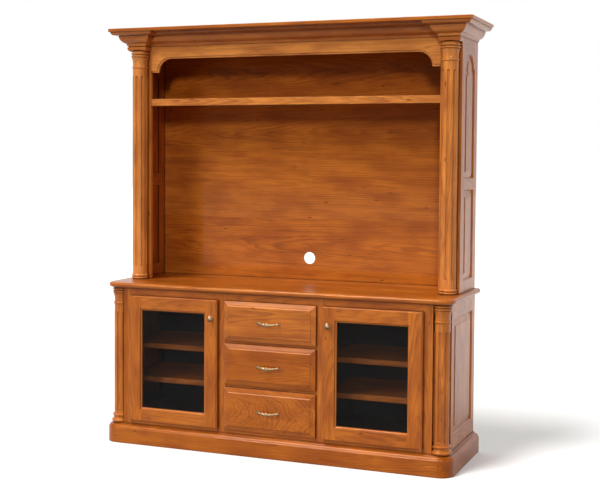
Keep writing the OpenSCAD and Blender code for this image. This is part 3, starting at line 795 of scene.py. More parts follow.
def cut_away(bm: bmesh.types.BMesh, point: Corner, normal: Corner) -> None:
    """Saws off what lies beyond a plane, and closes the cut.

    Args:
        bm: The mesh, in metres.
        point: A point of the plane, mm.
        normal: The plane's normal, towards what is sawn off.
    """
    whole = bm.verts[:] + bm.edges[:] + bm.faces[:]
    plane = {"plane_co": Vector(point) * MM, "plane_no": normal}
    made = bmesh.ops.bisect_plane(bm, geom=whole, clear_outer=True, dist=FINE, **plane)
    edges = [g for g in made["geom_cut"] if isinstance(g, bmesh.types.BMEdge)]
    if edges:
        bmesh.ops.contextual_create(bm, geom=edges)


# --- Sizes that the sub-assemblies share ------------------------------------------------------------------------


@dataclass(frozen=True)
class Layout:
    """Places that several sub-assemblies share, mm.

    Attributes:
        back: Y of the unit's back.
        face: Y of the front of the face frame.
        front: Y of the front of doors and drawers.
        front_back: Y of the back of doors and drawers.
        side: X of the base's sides.
        notch: Size of the square notches that the base columns stand in.
        turn: Radius of the plinth's path round a base column.
        frame: Thickness of frames and stiles.
        carcass: Z of the underside of the carcass.
        plinth: Z of the plinth's upper edge.
        top: Z of the underside of the base top.
        base: Z of the upper face of the base top.
        hutch_side: X of the hutch's sides.
        hutch_face: Y of the front of the hutch's stiles.
        columns: Z of the upper ends of the hutch columns.
        crown: Z of the foot of the crown.
        cap: Z of the underside of the cap.
        height: Z of the upper face of the cap.
    """

    back: float = 275.25
    face: float = -225.75
    front: float = -247.25
    front_back: float = -227.25
    side: float = 847.0
    notch: float = 68.0
    turn: float = 36.0
    frame: float = 20.0
    carcass: float = 75.0
    plinth: float = 97.0
    top: float = 762.0
    base: float = 787.0
    hutch_side: float = 845.0
    hutch_face: float = -20.75
    columns: float = 1923.0
    crown: float = 1950.0
    cap: float = 2016.0
    height: float = 2032.0

    def round_path(self, steps: int = 12) -> list[tuple[Point, Point]]:
        """The base's outline from the back on the left round both columns to the back on the right.

        Args:
            steps: Number of chords in a rounded corner.

        Returns:
            Points of the outline, each with the direction in which it moves when the outline grows.
        """
        x, y = self.side - self.turn, self.face + self.turn
        stations: list[tuple[Point, Point]] = [((-self.side, self.back), (-1.0, 0.0))]
        for centre, start in ((-x, 180), (x, 270)):
            for i in range(steps + 1):
                turn = math.radians(start + 90 * i / steps)
                out = (math.cos(turn), math.sin(turn))
                stations.append(((centre + self.turn * out[0], y + self.turn * out[1]), out))
        return stations + [((self.side, self.back), (1.0, 0.0))]


PLACES = Layout()


def sweep(stations: Sequence[tuple[Point, Point]], section: Sequence[Point]) -> bmesh.types.BMesh:
    """Runs a section along a path.

    Args:
        stations: Points of the path, each with the direction in which it moves when the path grows.
        section: Closed outline of points as (projection from the path, height), mm.

    Returns:
        The moulding, in metres.
    """
    return loft([[(x + p * dx, y + p * dy, z) for p, z in section] for (x, y), (dx, dy) in stations])


# --- Base -------------------------------------------------------------------------------------------------------


@dataclass
class Plinth:
    """Flat boards under a bead and an ogee, bent round the corners where the columns stand.

    Attributes:
        out: Projection beyond the base, mm.
        ledge: Width of the ledge that the base stands on, mm.
        quirk: Width of the fine groove under the bead, mm.
        back_t: Thickness of the board across the back, mm.
        ease: Radius of that board's edges, mm.
    """

    out: float = 28.0
    ledge: float = 12.0
    quirk: float = 2.0
    back_t: float = 20.0
    ease: float = 1.2

    def section(self) -> list[Point]:
        """The moulded outline, from the ledge round the face.

        Returns:
            Points as (projection, height), mm.
        """
        low, high, out = PLACES.carcass, PLACES.plinth, self.out
        groove = out - self.quirk
        return [
            *((-self.ledge, 0.0), (out - 1.2, 0.0), (out, 1.2), (out, low - 2.5)),
            *arc((out, low - 2.5), (groove, low), 0.5, 3),
            *((groove, low + 0.5), (groove - 1.4, low + self.quirk)),
            *arc((groove - 1.4, low + self.quirk), (10.0, high - 7), -3.5, 8),
            *arc((9.0, high - 6), (7.0, high - 1), 2.2, 6),
            *((5.0, high), (0.0, high), (0.0, low), (-self.ledge, low)),
        ]

    def build(self) -> None:
        """Builds the plinth."""
        x, y = PLACES.side - PLACES.turn, PLACES.face + PLACES.turn
        boards = [Board(Grain.WIDTH, xs, (-FAR, y)) for xs in ((-x, x), (-FAR, -x), (x, FAR))]
        boards += [Board(Grain.DEPTH, xs, (y, FAR)) for xs in ((-FAR, 0), (0, FAR))]
        bm = sweep(PLACES.round_path(), self.section())
        finish_piece("plinth_moulding", bm, ("plinth",), boards, smooth_deg=24)
        grain = [Board(Grain.WIDTH)]
        for name, s in SIDES.items():
            inner, outer = sorted((s * (PLACES.side - PLACES.notch), s * PLACES.side))
            seat = block((inner, PLACES.face, 0), (outer, PLACES.face + PLACES.notch, PLACES.plinth))
            for v in seat.verts:
                # The outer corner comes in behind the plinth's bend
                if v.co.y < y * MM and v.co.x * s > x * MM:
                    v.co += Vector((-s * 0.3, 0.3, 0)) * PLACES.turn * MM
            finish_piece(f"plinth_seat_{name}", seat, ("plinth",), grain)
        low = (-PLACES.side, PLACES.back - self.back_t, 0.0)
        bm = block(low, (PLACES.side, PLACES.back, PLACES.carcass))
        finish_piece("plinth_back", bm, ("plinth",), grain, ease=self.ease)
        LOG.info("plinth: moulding, two column seats and back board")


@dataclass
class RaisedPanel:
    """Raised panel in a side frame: a field, a fine step, a bevel and a tongue in the groove.

    Attributes:
        node: The node that it stands for.
        face_x: X of the frame's outer face, mm. Its sign gives the side.
        y: Middle of the panel, mm.
        z: Lower edge of the opening, mm.
        width: Width of the opening, mm.
        height: Height of the opening, up to the springing of its arch, mm.
        arch: Radius of the arch on its upper edge, mm, or 0.
        count: Number of planks that the panel is glued up from.
        bevel: Width of the bevel, mm.
        tongue: How far it reaches into the groove, mm.
        deep: Depth of the tongue's outer face behind the frame's, mm.
        tongue_t: Thickness of the tongue, mm.
        chords: Number of chords in the arch.
    """

    node: str
    face_x: float
    y: float
    z: float
    width: float
    height: float
    arch: float = 0.0
    count: int = 2
    bevel: float = 28.0
    tongue: float = 7.7
    deep: float = 8.0
    tongue_t: float = 6.0
    chords: int = 24

    def ring(self, inset: float, depth: float) -> list[Corner]:
        """The opening's outline, moved inwards.

        Args:
            inset: How far it is moved, mm.
            depth: Its depth behind the frame's face, mm.

        Returns:
            The outline's points.
        """
        half, top = self.width / 2 - inset, self.height - inset
        points = [(-half, inset), (half, inset), (half, top)]
        if self.arch:
            r = self.arch - inset
            start = math.asin(-inset / r) if abs(inset) < r else 0.0
            for i in range(self.chords + 1):
                turn = start + (math.pi - 2 * start) * i / self.chords
                points.append((r * math.cos(turn), self.height + r * math.sin(turn)))
        points.append((-half, top))
        x = self.face_x - math.copysign(depth, self.face_x)
        return [(x, self.y + u, self.z + v) for u, v in points]

    def build(self) -> None:
        """Builds the panel."""
        b = self.bevel
        profile = [(-self.tongue, self.deep + self.tongue_t), (-self.tongue, self.deep), (0.3, self.deep)]
        profile += [(b - 7, 4.4), *arc((b - 6, 4.1), (b - 0.6, 3.6), 0.35, 3)]
        profile += [(b, 3.4), (b, 2.4), (b + 0.5, 2.0)]
        bm = loft([self.ring(inset, depth) for inset, depth in profile])
        half = self.width / 2 + 10
        boards = planks(Grain.HEIGHT, "y", self.y - half, self.y + half, self.count)
        finish_piece(f"{self.node}_field", bm, (self.node,), boards, smooth_deg=11)


@dataclass
class Carcass:
    """Face frame, side frames with their panels, inner boards and shelves of the base.

    Attributes:
        door_edges: X of the inner and outer edges of a door opening, mm.
        drawer_edge: X of the edge of the drawer openings, mm.
        rails: Z of the lower and upper edge of the rails between the drawers, mm.
        opening: Z of the lower and upper edge of the door openings, mm.
        panel: Middle Y, lowest Z, width and height of the side panels, mm.
        backing: Y of the front and back of the wide inner boards, mm.
    """

    door_edges: Point = (278.0, 726.0)
    drawer_edge: float = 219.5
    rails: tuple[Point, ...] = ((305.0, 343.0), (513.0, 551.0))
    opening: Point = (127.0, 714.0)
    panel: tuple[float, float, float, float] = (52.75, 173.0, 331.0, 507.0)
    backing: Point = (-250.0, 280.0)

    def build(self) -> None:
        """Builds the carcass."""
        self.face_frame()
        for name, s in SIDES.items():
            self.side(name, s)
        self.inside()
        LOG.info("carcass: face frame, side frames, panels, inner boards and shelves")

    def face_frame(self) -> None:
        """Builds the face frame: stiles full height, rails between them."""
        low, high = PLACES.carcass, PLACES.top
        y0, y1 = PLACES.face, PLACES.face + PLACES.frame
        edge = PLACES.side - PLACES.notch
        deep = PLACES.face + PLACES.notch + PLACES.frame
        lip = edge - PLACES.frame
        stiles = ((self.door_edges[1], lip, y1), (self.drawer_edge, self.door_edges[0], y1), (lip, edge, deep))
        boards = []
        for s in SIDES.values():
            for a, b, back in stiles:
                xs = (min(s * a, s * b), max(s * a, s * b))
                boards.append(Board(Grain.HEIGHT, xs, (y0, back), (low, high)))
        levels = [(low, self.opening[0]), (self.opening[1], high), *self.rails]
        boards += [Board(Grain.WIDTH, (-edge, edge), (y0, y1), zs) for zs in levels]
        cut_from("base_face_frame", boards)

    def side(self, name: str, s: int) -> None:
        """Builds one side frame, near black on its inner face as painted shade of the bay, and its raised panel.

        Args:
            name: "left" or "right".
            s: -1 or 1.
        """
        y, z, width, height = self.panel
        front, rear = y - width / 2, y + width / 2
        boards = [Board(Grain.HEIGHT, y=ys) for ys in ((-FAR, front), (rear, FAR))]
        boards += [Board(Grain.DEPTH, y=(front, rear), z=zs) for zs in ((0.0, z), (z + height, FAR))]
        piece = cut_from(f"base_side_{name}", boards)
        piece.data.materials.append(Finish.BLACK.material())
        # The inner face takes the near-black finish, painted shade of the bay
        for face in piece.data.polygons:
            face.material_index = int(-s * face.normal.x > 0.9)
        RaisedPanel(f"base_panel_{name}", s * PLACES.side, *self.panel, count=3).build()

    def inside(self) -> None:
        """Builds bottom, back, partitions and shelves, and finishes the fittings that they carry. Bottom, back
        and partitions are near black, painted shade of the bays.
        """
        glued = planks(Grain.WIDTH, "y", *self.backing, 4)
        cut_from("base_bottom", glued, Finish.BLACK)
        cut_from("base_back", [Board(Grain.WIDTH)], Finish.BLACK, ease=0.6)
        for name in SIDES:
            cut_from(f"partition_{name}", [Board(Grain.HEIGHT)], Finish.BLACK)
            for level in ("lower", "upper"):
                cut_from(f"shelf_{name}_{level}", glued, ease=2.0)
        for node in ("shelf_pins", "cabinet_slides", "door_catches"):
            dress_node(node, Finish.STEEL)
        dress_node("pivot_plates", Finish.BRASS)


@dataclass
class BaseTop:
    """Glued-up top with a full bullnose on its front and side edges.

    Attributes:
        out: Overhang beyond the base, mm.
        count: Number of planks.
        steps: Number of chords in the bullnose.
        corner_steps: Number of chords in a rounded corner.
    """

    out: float = 26.0
    count: int = 5
    steps: int = 14
    corner_steps: int = 16

    def build(self) -> None:
        """Builds the top."""
        nose = (PLACES.base - PLACES.top) / 2
        rings = []
        for i in range(self.steps + 1):
            turn = math.radians(-90 + 180 * i / self.steps)
            grown = self.out - nose + nose * math.cos(turn)
            z = PLACES.top + nose + nose * math.sin(turn)
            path = PLACES.round_path(self.corner_steps)
            rings.append([(x + grown * dx, y + grown * dy, z) for (x, y), (dx, dy) in path])
        boards = planks(Grain.WIDTH, "y", PLACES.face - self.out, PLACES.back, self.count)
        finish_piece("base_top_boards", loft(rings), ("base_top",), boards, smooth_deg=24)
        LOG.info("base top: %d planks", self.count)


# --- Columns ----------------------------------------------------------------------------------------------------


@dataclass
class Column:
    """Turned half column with round-ended flutes between a moulded foot and a capital.

    Attributes:
        node: The node that it stands for.
        at: X, Y and Z of its foot, mm.
        height: Its height, mm.
        foot: Profile of its foot, as (radius, height), mm.
        flute_z: Height at which the flutes begin, mm.
        cuts: Planes that it is sawn off at, each as a point and a normal in the column's own axes.
        radius: Radius of the shaft, mm.
        flutes: Number of flutes round a whole shaft.
        flute_r: Radius of a flute's hollow, mm.
        flute_depth: Depth of a flute, mm.
        flute_top: Distance from the upper end of the flutes to the top, mm.
        across: Number of chords across a flute.
        land: Number of chords across the land between two flutes.
    """

    node: str
    at: Corner
    height: float
    foot: list[Point]
    flute_z: float
    cuts: list[tuple[Corner, Corner]]
    radius: float = 37.0
    flutes: int = 8
    flute_r: float = 6.5
    flute_depth: float = 5.5
    flute_top: float = 122.0
    across: int = 10
    land: int = 4

    @property
    def axis(self) -> float:
        """Distance of a flute's own axis from the column's, mm."""
        return self.radius + self.flute_r - self.flute_depth

    @property
    def ends(self) -> Point:
        """Heights at which the flutes reach their full width, mm."""
        return self.flute_z + self.flute_r, self.height - self.flute_top - self.flute_r

    def capital(self) -> list[Point]:
        """Profile of the capital: a fine ring, a bell and two rings.

        Returns:
            Points as (radius, height), mm.
        """
        h, r = self.height, self.radius
        return [
            *arc((r, h - 84), (r, h - 74), -3.6, 8),
            *((r + 0.2, h - 72), *arc((r + 0.2, h - 72), (r + 5.5, h - 31), 2.8, 10)),
            *((r + 4.4, h - 29), *arc((r + 3, h - 28), (r + 3, h - 18), -4.9, 10)),
            *((r + 2.4, h - 16.5), *arc((r + 3, h - 15), (r + 3, h - 5), -4.9, 10)),
            *((r + 2.4, h - 4), (r + 3, h - 3), (r + 3, h), (0.0, h)),
        ]

    def flute(self, z: float, index: int) -> tuple[float, float]:
        """Where a point of the shaft lies and how deep it is cut.

        Args:
            z: Height of the point, mm.
            index: Number of the point round the shaft.

        Returns:
            Angle in degrees and depth in mm.
        """
        flute, place = divmod(index, self.across + self.land)
        middle = 360 * flute / self.flutes - 90
        cosine = (self.axis**2 + self.radius**2 - self.flute_r**2) / (2 * self.axis * self.radius)
        wide = math.degrees(math.acos(min(1.0, cosine)))
        if place > self.across:
            # On the land between two flutes
            rest = 360 / self.flutes - 2 * wide
            return middle + wide + rest * (place - self.across) / self.land, 0.0
        # In a flute, whose hollow narrows beyond its ends as a round cutter leaves it
        share = 2 * place / self.across - 1
        low, high = self.ends
        beyond = max(low - z, z - high, 0.0)
        reach = math.sqrt(max(self.flute_r**2 - beyond**2, 0.0))
        if self.axis - reach >= self.radius:
            return middle + share * wide, 0.0
        span = math.acos((self.axis**2 + reach**2 - self.radius**2) / (2 * self.axis * reach))
        x, y = reach * math.sin(share * span), self.axis - reach * math.cos(share * span)
        return middle + math.degrees(math.atan2(x, y)), max(self.radius - math.hypot(x, y), 0.0)

    def build(self) -> None:
        """Builds the column."""
        low, high = self.ends
        tip = math.sqrt(self.flute_r**2 - (self.flute_r - self.flute_depth) ** 2)
        # Rings stand closer towards a flute's tip, where its outline turns fastest
        steps = [tip * share for share in (1.0, 0.97, 0.88, 0.7, 0.45, 0.2, 0.0)]
        shaft = [(self.radius, low - step) for step in steps]
        shaft += [(self.radius, high + step) for step in reversed(steps)]
        profile = [(0.0, 0.0), *self.foot, *shaft, *self.capital()]
        bm = turned(profile, self.flutes * (self.across + self.land), self.flute)
        for point, normal in self.cuts:
            cut_away(bm, point, normal)
        grain = [Board(Grain.HEIGHT)]
        finish_piece(f"{self.node}_turning", placed(bm, *self.at), (self.node,), grain, smooth_deg=28)
        LOG.info("%s: %d flutes", self.node, self.flutes)


def base_column(name: str, s: int) -> Column:
    """A corner column of the base, on a torus, a hollow and a ring.

    Args:
        name: "left" or "right".
        s: -1 or 1.

    Returns:
        The column.
    """
    room = PLACES.notch - PLACES.turn - 0.3
    foot = [
        *((46.5, 0.0), *arc((47.0, 0.5), (47.0, 12.0), -3.0, 8)),
        *((45.2, 12.6), *arc((45.0, 13.0), (41.0, 27.0), 2.2, 8)),
        *((40.6, 27.6), *arc((41.0, 28.0), (41.0, 38.0), -4.9, 8), (38.0, 39.0), (37.0, 41.0)),
    ]
    at = (s * (PLACES.side - PLACES.turn), PLACES.face + PLACES.turn, PLACES.plinth)
    cuts = [((-s * room, 0.0, 0.0), (-s * 1.0, 0.0, 0.0)), ((0.0, room, 0.0), (0.0, 1.0, 0.0))]
    return Column(f"base_column_{name}", at, PLACES.top - PLACES.plinth, foot, 52.0, cuts)


def hutch_column(name: str, s: int, inset: float = 50.0, out: float = 20.0) -> Column:
    """A column of the hutch, on two rings, sawn flat at the back.

    Args:
        name: "left" or "right".
        s: -1 or 1.
        inset: Distance of its axis from the side of the hutch, mm.
        out: Distance of its axis ahead of the stile, mm.

    Returns:
        The column.
    """
    foot = [
        *((38.0, 0.0), (38.0, 2.0), *arc((38.0, 3.0), (38.0, 13.0), -3.6, 8)),
        *((37.4, 13.8), *arc((38.0, 14.6), (38.0, 24.5), -3.6, 8), (37.0, 26.0)),
    ]
    at = (s * (PLACES.hutch_side - inset), PLACES.hutch_face - out, PLACES.base)
    cuts = [((0.0, out, 0.0), (0.0, 1.0, 0.0))]
    return Column(f"hutch_column_{name}", at, PLACES.columns - PLACES.base, foot, 65.0, cuts)


# --- Doors and drawers ------------------------------------------------------------------------------------------


@dataclass
class Door:
    """Frame of four boards with a moulded inner edge, a smoked pane and a turned knob.

    Attributes:
        side: "left" or "right".
        s: -1 or 1.
        middle: Middle of the door in X and Z, mm.
        size: Width and height, mm.
        rail: Width of stiles and rails, mm.
        thick: Thickness of the frame, mm.
        groove: How far the pane reaches into its grooves, mm.
        knob: X and Z of the knob, mm.
        knob_r: Radius of the knob, mm.
        knob_out: Projection of the knob, mm.
        ease: Radius of the frame's edges, mm.
    """

    side: str
    s: int
    middle: Point = (502.0, 420.5)
    size: Point = (472.0, 611.0)
    rail: float = 68.0
    thick: float = 20.0
    groove: float = 7.4
    knob: Point = (295.0, 640.0)
    knob_r: float = 15.0
    knob_out: float = 26.0
    ease: float = 0.5

    def build(self) -> None:
        """Builds the door."""
        self.frame()
        self.pane()
        self.turn_knob()
        dress_node(f"{self.name}_strike", Finish.STEEL)
        LOG.info("%s: frame, pane, knob and strike plate", self.name)

    @property
    def name(self) -> str:
        """The body that it moves as, whose name its nodes start with."""
        return f"door_{self.side}"

    def frame(self) -> None:
        """Builds the frame: an eased outer edge, a flat face, a quirk and an ovolo round the glass."""
        r, t = self.rail, self.thick
        profile = [
            *((0.0, 0.0), (0.0, t - 5), *arc((0.0, t - 4.4), (4.4, t), -1.3, 5)),
            *((r - 8.5, t), (r - 8.0, t - 0.3), (r - 8.0, t - 1.5)),
            *(*arc((r - 7.6, t - 1.5), (r - 0.4, t - 8.0), -1.9, 7), (r, t - 8.4), (r, 0.0)),
        ]
        x, z = self.s * self.middle[0], self.middle[1]
        bm = placed(loft(mitred(*self.size, profile), True), x, PLACES.front_back, z)
        half_x, half_z = self.size[0] / 2, self.size[1] / 2
        xs, zs = (x - half_x + r, x + half_x - r), (z - half_z + r, z + half_z - r)
        boards = [
            Board(Grain.HEIGHT, (-FAR, xs[0])),
            Board(Grain.HEIGHT, (xs[1], FAR)),
            Board(Grain.WIDTH, xs, z=(-FAR, zs[0])),
            Board(Grain.WIDTH, xs, z=(zs[1], FAR)),
        ]
        node = f"{self.name}_frame"
        finish_piece(f"{self.name}_boards", bm, (node,), boards, Finish.CHERRY, self.name, self.ease, 20)

    def pane(self) -> None:
        """Builds the pane in its groove."""
        width, height = (n - 2 * self.rail + 2 * self.groove for n in self.size)
        bm = loft(mitred(width, height, [(0.5, 7.7), (0.0, 8.2), (0.0, 11.2), (0.5, 11.7)]))
        placed(bm, self.s * self.middle[0], PLACES.front_back, self.middle[1])
        node = f"{self.name}_glass"
        finish_piece(f"{self.name}_pane", bm, (node,), finish=Finish.GLASS, body=self.name, smooth_deg=10)

    def turn_knob(self) -> None:
        """Builds the knob: rose, stem, mushroom head with a bead and a button."""
        r, out = self.knob_r, self.knob_out
        profile = [
            *((0.0, 0.0), (r * 0.72, 0.0), *arc((r * 0.72, 0.8), (r * 0.5, 3.2), 0.7, 6)),
            *((r * 0.42, 3.6), *arc((r * 0.38, 4.2), (r * 0.5, out * 0.47), 1.3, 8)),
            *arc((r * 0.82, out * 0.52), (r * 0.86, out * 0.72), -2.0, 12),
            *((r * 0.8, out * 0.76), *arc((r * 0.78, out * 0.77), (r * 0.4, out * 0.93), -0.8, 6)),
            *((r * 0.38, out * 0.92), *arc((r * 0.36, out * 0.925), (0.0, out), -0.5, 6)),
        ]
        bm = placed(turned(profile, 40), self.s * self.knob[0], PLACES.front, self.knob[1], facing=True)
        node = f"{self.name}_knob"
        finish_piece(f"{self.name}_turned_knob", bm, (node,), finish=Finish.BRASS, body=self.name)


@dataclass
class Drawer:
    """Bevelled front with a cast bow pull, on a dovetailed box that runs on side slides.

    Attributes:
        level: "top", "middle" or "bottom".
        low: Z of the lower edge of the front, mm.
        height: Height of the front, mm.
        slope: How steeply the front's board crosses the growth rings.
        width: Width of the front, mm.
        thick: Thickness of the front, mm.
        bevel: Width of the bevel up to the step, mm.
        fall: How far the bevel falls back towards the outer edge, mm.
        step: Height of the step between bevel and field, mm.
        cove: Width of that step, mm.
        ease: Radius of the front's edges, mm.
        box_x: X of the inner faces of the box's sides, mm.
        pull_len: Length of the pull, mm.
        post_span: Distance of its posts, mm.
        pull_out: Its projection, mm.
        sag: How far its middle hangs below its ends, mm.
    """

    level: str
    low: float
    height: float
    slope: float
    width: float = 463.0
    thick: float = 20.0
    bevel: float = 17.0
    fall: float = 4.8
    step: float = 4.0
    cove: float = 7.0
    ease: float = 0.35
    box_x: float = 194.5
    pull_len: float = 124.0
    post_span: float = 96.0
    pull_out: float = 28.0
    sag: float = 5.0

    def build(self) -> None:
        """Builds the drawer."""
        t, b = self.thick, self.bevel
        low = t - self.step
        edge = low - self.fall
        profile = [
            *((0.0, 0.0), (0.0, edge - 2), *arc((0.0, edge - 2), (2.0, edge), 0.6, 4), (b, low)),
            *(*arc((b + 0.5, low), (b + self.cove - 0.3, t - 0.4), -0.8, 6), (b + self.cove + 0.4, t)),
        ]
        middle = self.low + self.height / 2
        bm = placed(loft(mitred(self.width, self.height, profile)), 0, PLACES.front_back, middle)
        node, grain = f"{self.name}_front", [Board(Grain.WIDTH, slope=self.slope)]
        finish_piece(f"{self.name}_board", bm, (node,), grain, Finish.CHERRY, self.name, self.ease, 10)
        boards = [Board(Grain.DEPTH, xs) for xs in ((-FAR, -self.box_x), (self.box_x, FAR))]
        cut_from(f"{self.name}_box", [*boards, Board(Grain.WIDTH)], Finish.MAPLE, self.name, ease=1.0)
        dress_node(f"{self.name}_slides", Finish.STEEL)
        self.pull(middle)
        LOG.info("%s: front, box, pull and slides", self.name)

    @property
    def name(self) -> str:
        """The body that it moves as, whose name its nodes start with."""
        return f"drawer_{self.level}"

    def pull(self, z: float) -> None:
        """Builds the pull: a bow of overlapping leaves between two rosettes.

        Args:
            z: Height of the pull's ends, mm.
        """
        steps, sides = 96, 24
        rings = []
        for k in range(steps + 1):
            # t runs from -1 at the left end to 1 at the right end, and arch from 0 through 1 to 0
            t = 2 * k / steps - 1
            arch = math.cos(math.pi / 2 * t)
            bow = 6 + (self.pull_out - 9.6) * arch**0.8
            # A broad leaf in the middle and a flare at each end, over small leaves that swell one after another
            leaf = 0.5 + 0.5 * math.cos(min(math.pi, 3.5 * abs(t)))
            flare = math.sin(math.pi / 2 * abs(t)) ** 10
            fade = 0.3 + 0.7 * (1 - abs(t) ** 14)
            swell = 1 + 0.27 * math.sin(24 * abs(t) + 0.6)
            tall = (2.6 + 4.4 * leaf + 2.8 * flare) * fade * swell
            deep = (2.0 + 1.0 * arch**2) * fade * (0.92 + 0.08 * swell)
            x = t * (self.pull_len / 2 - 0.4)
            ring = []
            for i in range(sides):
                # Five veins run along the casting and wind a little round it
                a = math.tau * i / sides
                vein = 1 + 0.09 * math.cos(5 * a + 5 * t)
                across, up = deep * vein * math.cos(a), tall * vein * math.sin(a)
                ring.append((x, -(bow + across), up - self.sag * arch**2))
            rings.append(ring)
        brass = {"finish": Finish.BRASS, "body": self.name}
        nodes = (f"{self.name}_pull",)
        finish_piece(f"{self.name}_bow", placed(loft(rings), 0, PLACES.front, z), nodes, **brass, smooth_deg=60)
        profile = [
            *((0.0, 0.0), (6.0, 0.0), *arc((6.0, 0.8), (5.0, 2.4), -0.5, 4)),
            *(*arc((4.0, 2.6), (2.9, 7.0), 0.8, 6), (3.2, 11.0), (0.0, 11.5)),
        ]
        drop = self.sag * math.cos(math.pi / 2 * self.post_span / self.pull_len) ** 2
        for side, s in SIDES.items():
            post = placed(turned(profile, 28), s * self.post_span / 2, PLACES.front, z - drop, facing=True)
            finish_piece(f"{self.name}_post_{side}", post, nodes, **brass)


# --- Hutch ------------------------------------------------------------------------------------------------------


@dataclass
class Hutch:
    """Sides with raised panels, stiles, arched valance, shelf and back.

    Attributes:
        panel_y: Middle of the side panels, mm.
        panel_w: Width of their openings, mm.
        low_panel: Lowest Z and height of the lower opening, mm.
        arch_panel: Lowest Z and height to the springing of the upper opening, mm.
        arch_r: Radius of its arch, mm.
        ease: Radius of the edges of the front boards, mm.
    """

    panel_y: float = 127.25
    panel_w: float = 168.0
    low_panel: Point = (848.0, 404.0)
    arch_panel: Point = (1316.0, 496.0)
    arch_r: float = 66.0
    ease: float = 1.6

    def build(self) -> None:
        """Builds the hutch."""
        for name, s in SIDES.items():
            self.side(name, s)
        cut_from("valance", [Board(Grain.WIDTH)], ease=self.ease)
        edge = PLACES.hutch_face + PLACES.frame
        boards = [Board(Grain.WIDTH, y=(-FAR, edge)), *planks(Grain.WIDTH, "y", edge, PLACES.back, 2)]
        cut_from("hutch_shelf", boards, ease=self.ease)
        cut_from("hutch_back", planks(Grain.WIDTH, "z", PLACES.base, PLACES.cap, 4), ease=0.6)
        LOG.info("hutch: sides, panels, stiles, valance, shelf and back")

    def side(self, name: str, s: int) -> None:
        """Builds one side with its stile and panels.

        Args:
            name: "left" or "right".
            s: -1 or 1.
        """
        front, rear = self.panel_y - self.panel_w / 2, self.panel_y + self.panel_w / 2
        low, upper = self.low_panel[0], self.arch_panel[0]
        levels = ((0.0, low), (low + self.low_panel[1], upper), (upper, FAR))
        boards = [Board(Grain.HEIGHT, y=ys) for ys in ((-FAR, front), (rear, FAR))]
        boards += [Board(Grain.DEPTH, y=(front, rear), z=zs) for zs in levels]
        cut_from(f"hutch_side_{name}", boards)
        cut_from(f"hutch_stile_{name}", [Board(Grain.HEIGHT)], ease=self.ease)
        x, y, width = s * PLACES.hutch_side, self.panel_y, self.panel_w
        RaisedPanel(f"low_panel_{name}", x, y, low, width, self.low_panel[1]).build()
        RaisedPanel(f"arch_panel_{name}", x, y, upper, width, self.arch_panel[1], self.arch_r).build()


@dataclass
class Crown:
    """Cap board over a moulding that breaks forward over each column.

    Attributes:
        out: Projection of the cap, mm.
        block_x: X of the inner face of a corner block, mm.
        block_y: Y of its front, mm.
        mitre_x: X at which the front board of the moulding ends, mm.
        ease: Radius of the cap's edges, mm.
    """

    out: float = 73.5
    block_x: float = 750.0
    block_y: float = -70.75
    mitre_x: float = 700.0
    ease: float = 2.2

    def build(self) -> None:
        """Builds the crown."""
        side, m = PLACES.hutch_side, self.mitre_x
        stations: list[tuple[Point, Point]] = [
            ((-side, PLACES.back), (-1, 0)),
            ((-side, self.block_y), (-1, -1)),
            ((-self.block_x, self.block_y), (1, -1)),
            ((-self.block_x, PLACES.hutch_face), (1, -1)),
        ]
        stations += [((-x, y), (-dx, dy)) for (x, y), (dx, dy) in reversed(stations)]
        boards = [Board(Grain.MITRED, xs) for xs in ((-m, m), (-FAR, -m), (m, FAR))]
        nodes = ("crown_center", "crown_left", "crown_right")
        bm = sweep(stations, self.section())
        finish_piece("crown_moulding", bm, nodes, boards, smooth_deg=24, saw=False)
        for name, s in SIDES.items():
            self.cushion(name, s)
        front = self.block_y - self.out
        bm = block((-side - self.out, front, PLACES.cap), (side + self.out, PLACES.back, PLACES.height))
        boards = planks(Grain.WIDTH, "y", front, PLACES.back, 3)
        finish_piece("crown_cap_board", bm, ("crown_cap",), boards, ease=self.ease)
        LOG.info("crown: cap, moulding and two cushions")

    def section(self) -> list[Point]:
        """The moulding's outline: a cavetto under the cap, a fillet, a cove, a fillet and a foot.

        Returns:
            Points as (projection, height), mm.
        """
        cove, half, h = self.out - 8, self.out / 2, PLACES.cap - PLACES.crown
        drops = [
            *(*arc((cove, 0.0), (cove - 12.5, 15.5), -3.5, 8), (half, 16.5)),
            *(*arc((half - 1, 17), (18, h - 17), -4, 12), (16, h - 16)),
            *(*arc((15, h - 15), (5, h - 3), 3, 8), (4, h)),
        ]
        return [(p, PLACES.cap - d) for p, d in drops] + [(0.0, PLACES.crown), (0.0, PLACES.cap)]

    def cushion(self, name: str, s: int) -> None:
        """Builds the rounded block between the crown and a column.

        Args:
            name: "left" or "right".
            s: -1 or 1.
        """
        high, low = PLACES.crown, PLACES.columns
        face, neck = low + 14.85, high - 5.4
        profile = [(13.0, low), *arc((13.0, low), (-4.0, face), 4.5, 12), (-4.0, neck), (0.0, neck), (0.0, high)]
        rings = []
        for inset, z in profile:
            x0, x1 = s * (self.block_x + inset), s * (PLACES.hutch_side - inset)
            y0, y1 = self.block_y + inset, PLACES.hutch_face
            rings.append([(x0, y0, z), (x1, y0, z), (x1, y1, z), (x0, y1, z)])
        node = f"crown_{name}"
        finish_piece(f"{node}_cushion", loft(rings), (node,), [Board(Grain.WIDTH)], smooth_deg=24)


# --- Studio -----------------------------------------------------------------------------------------------------


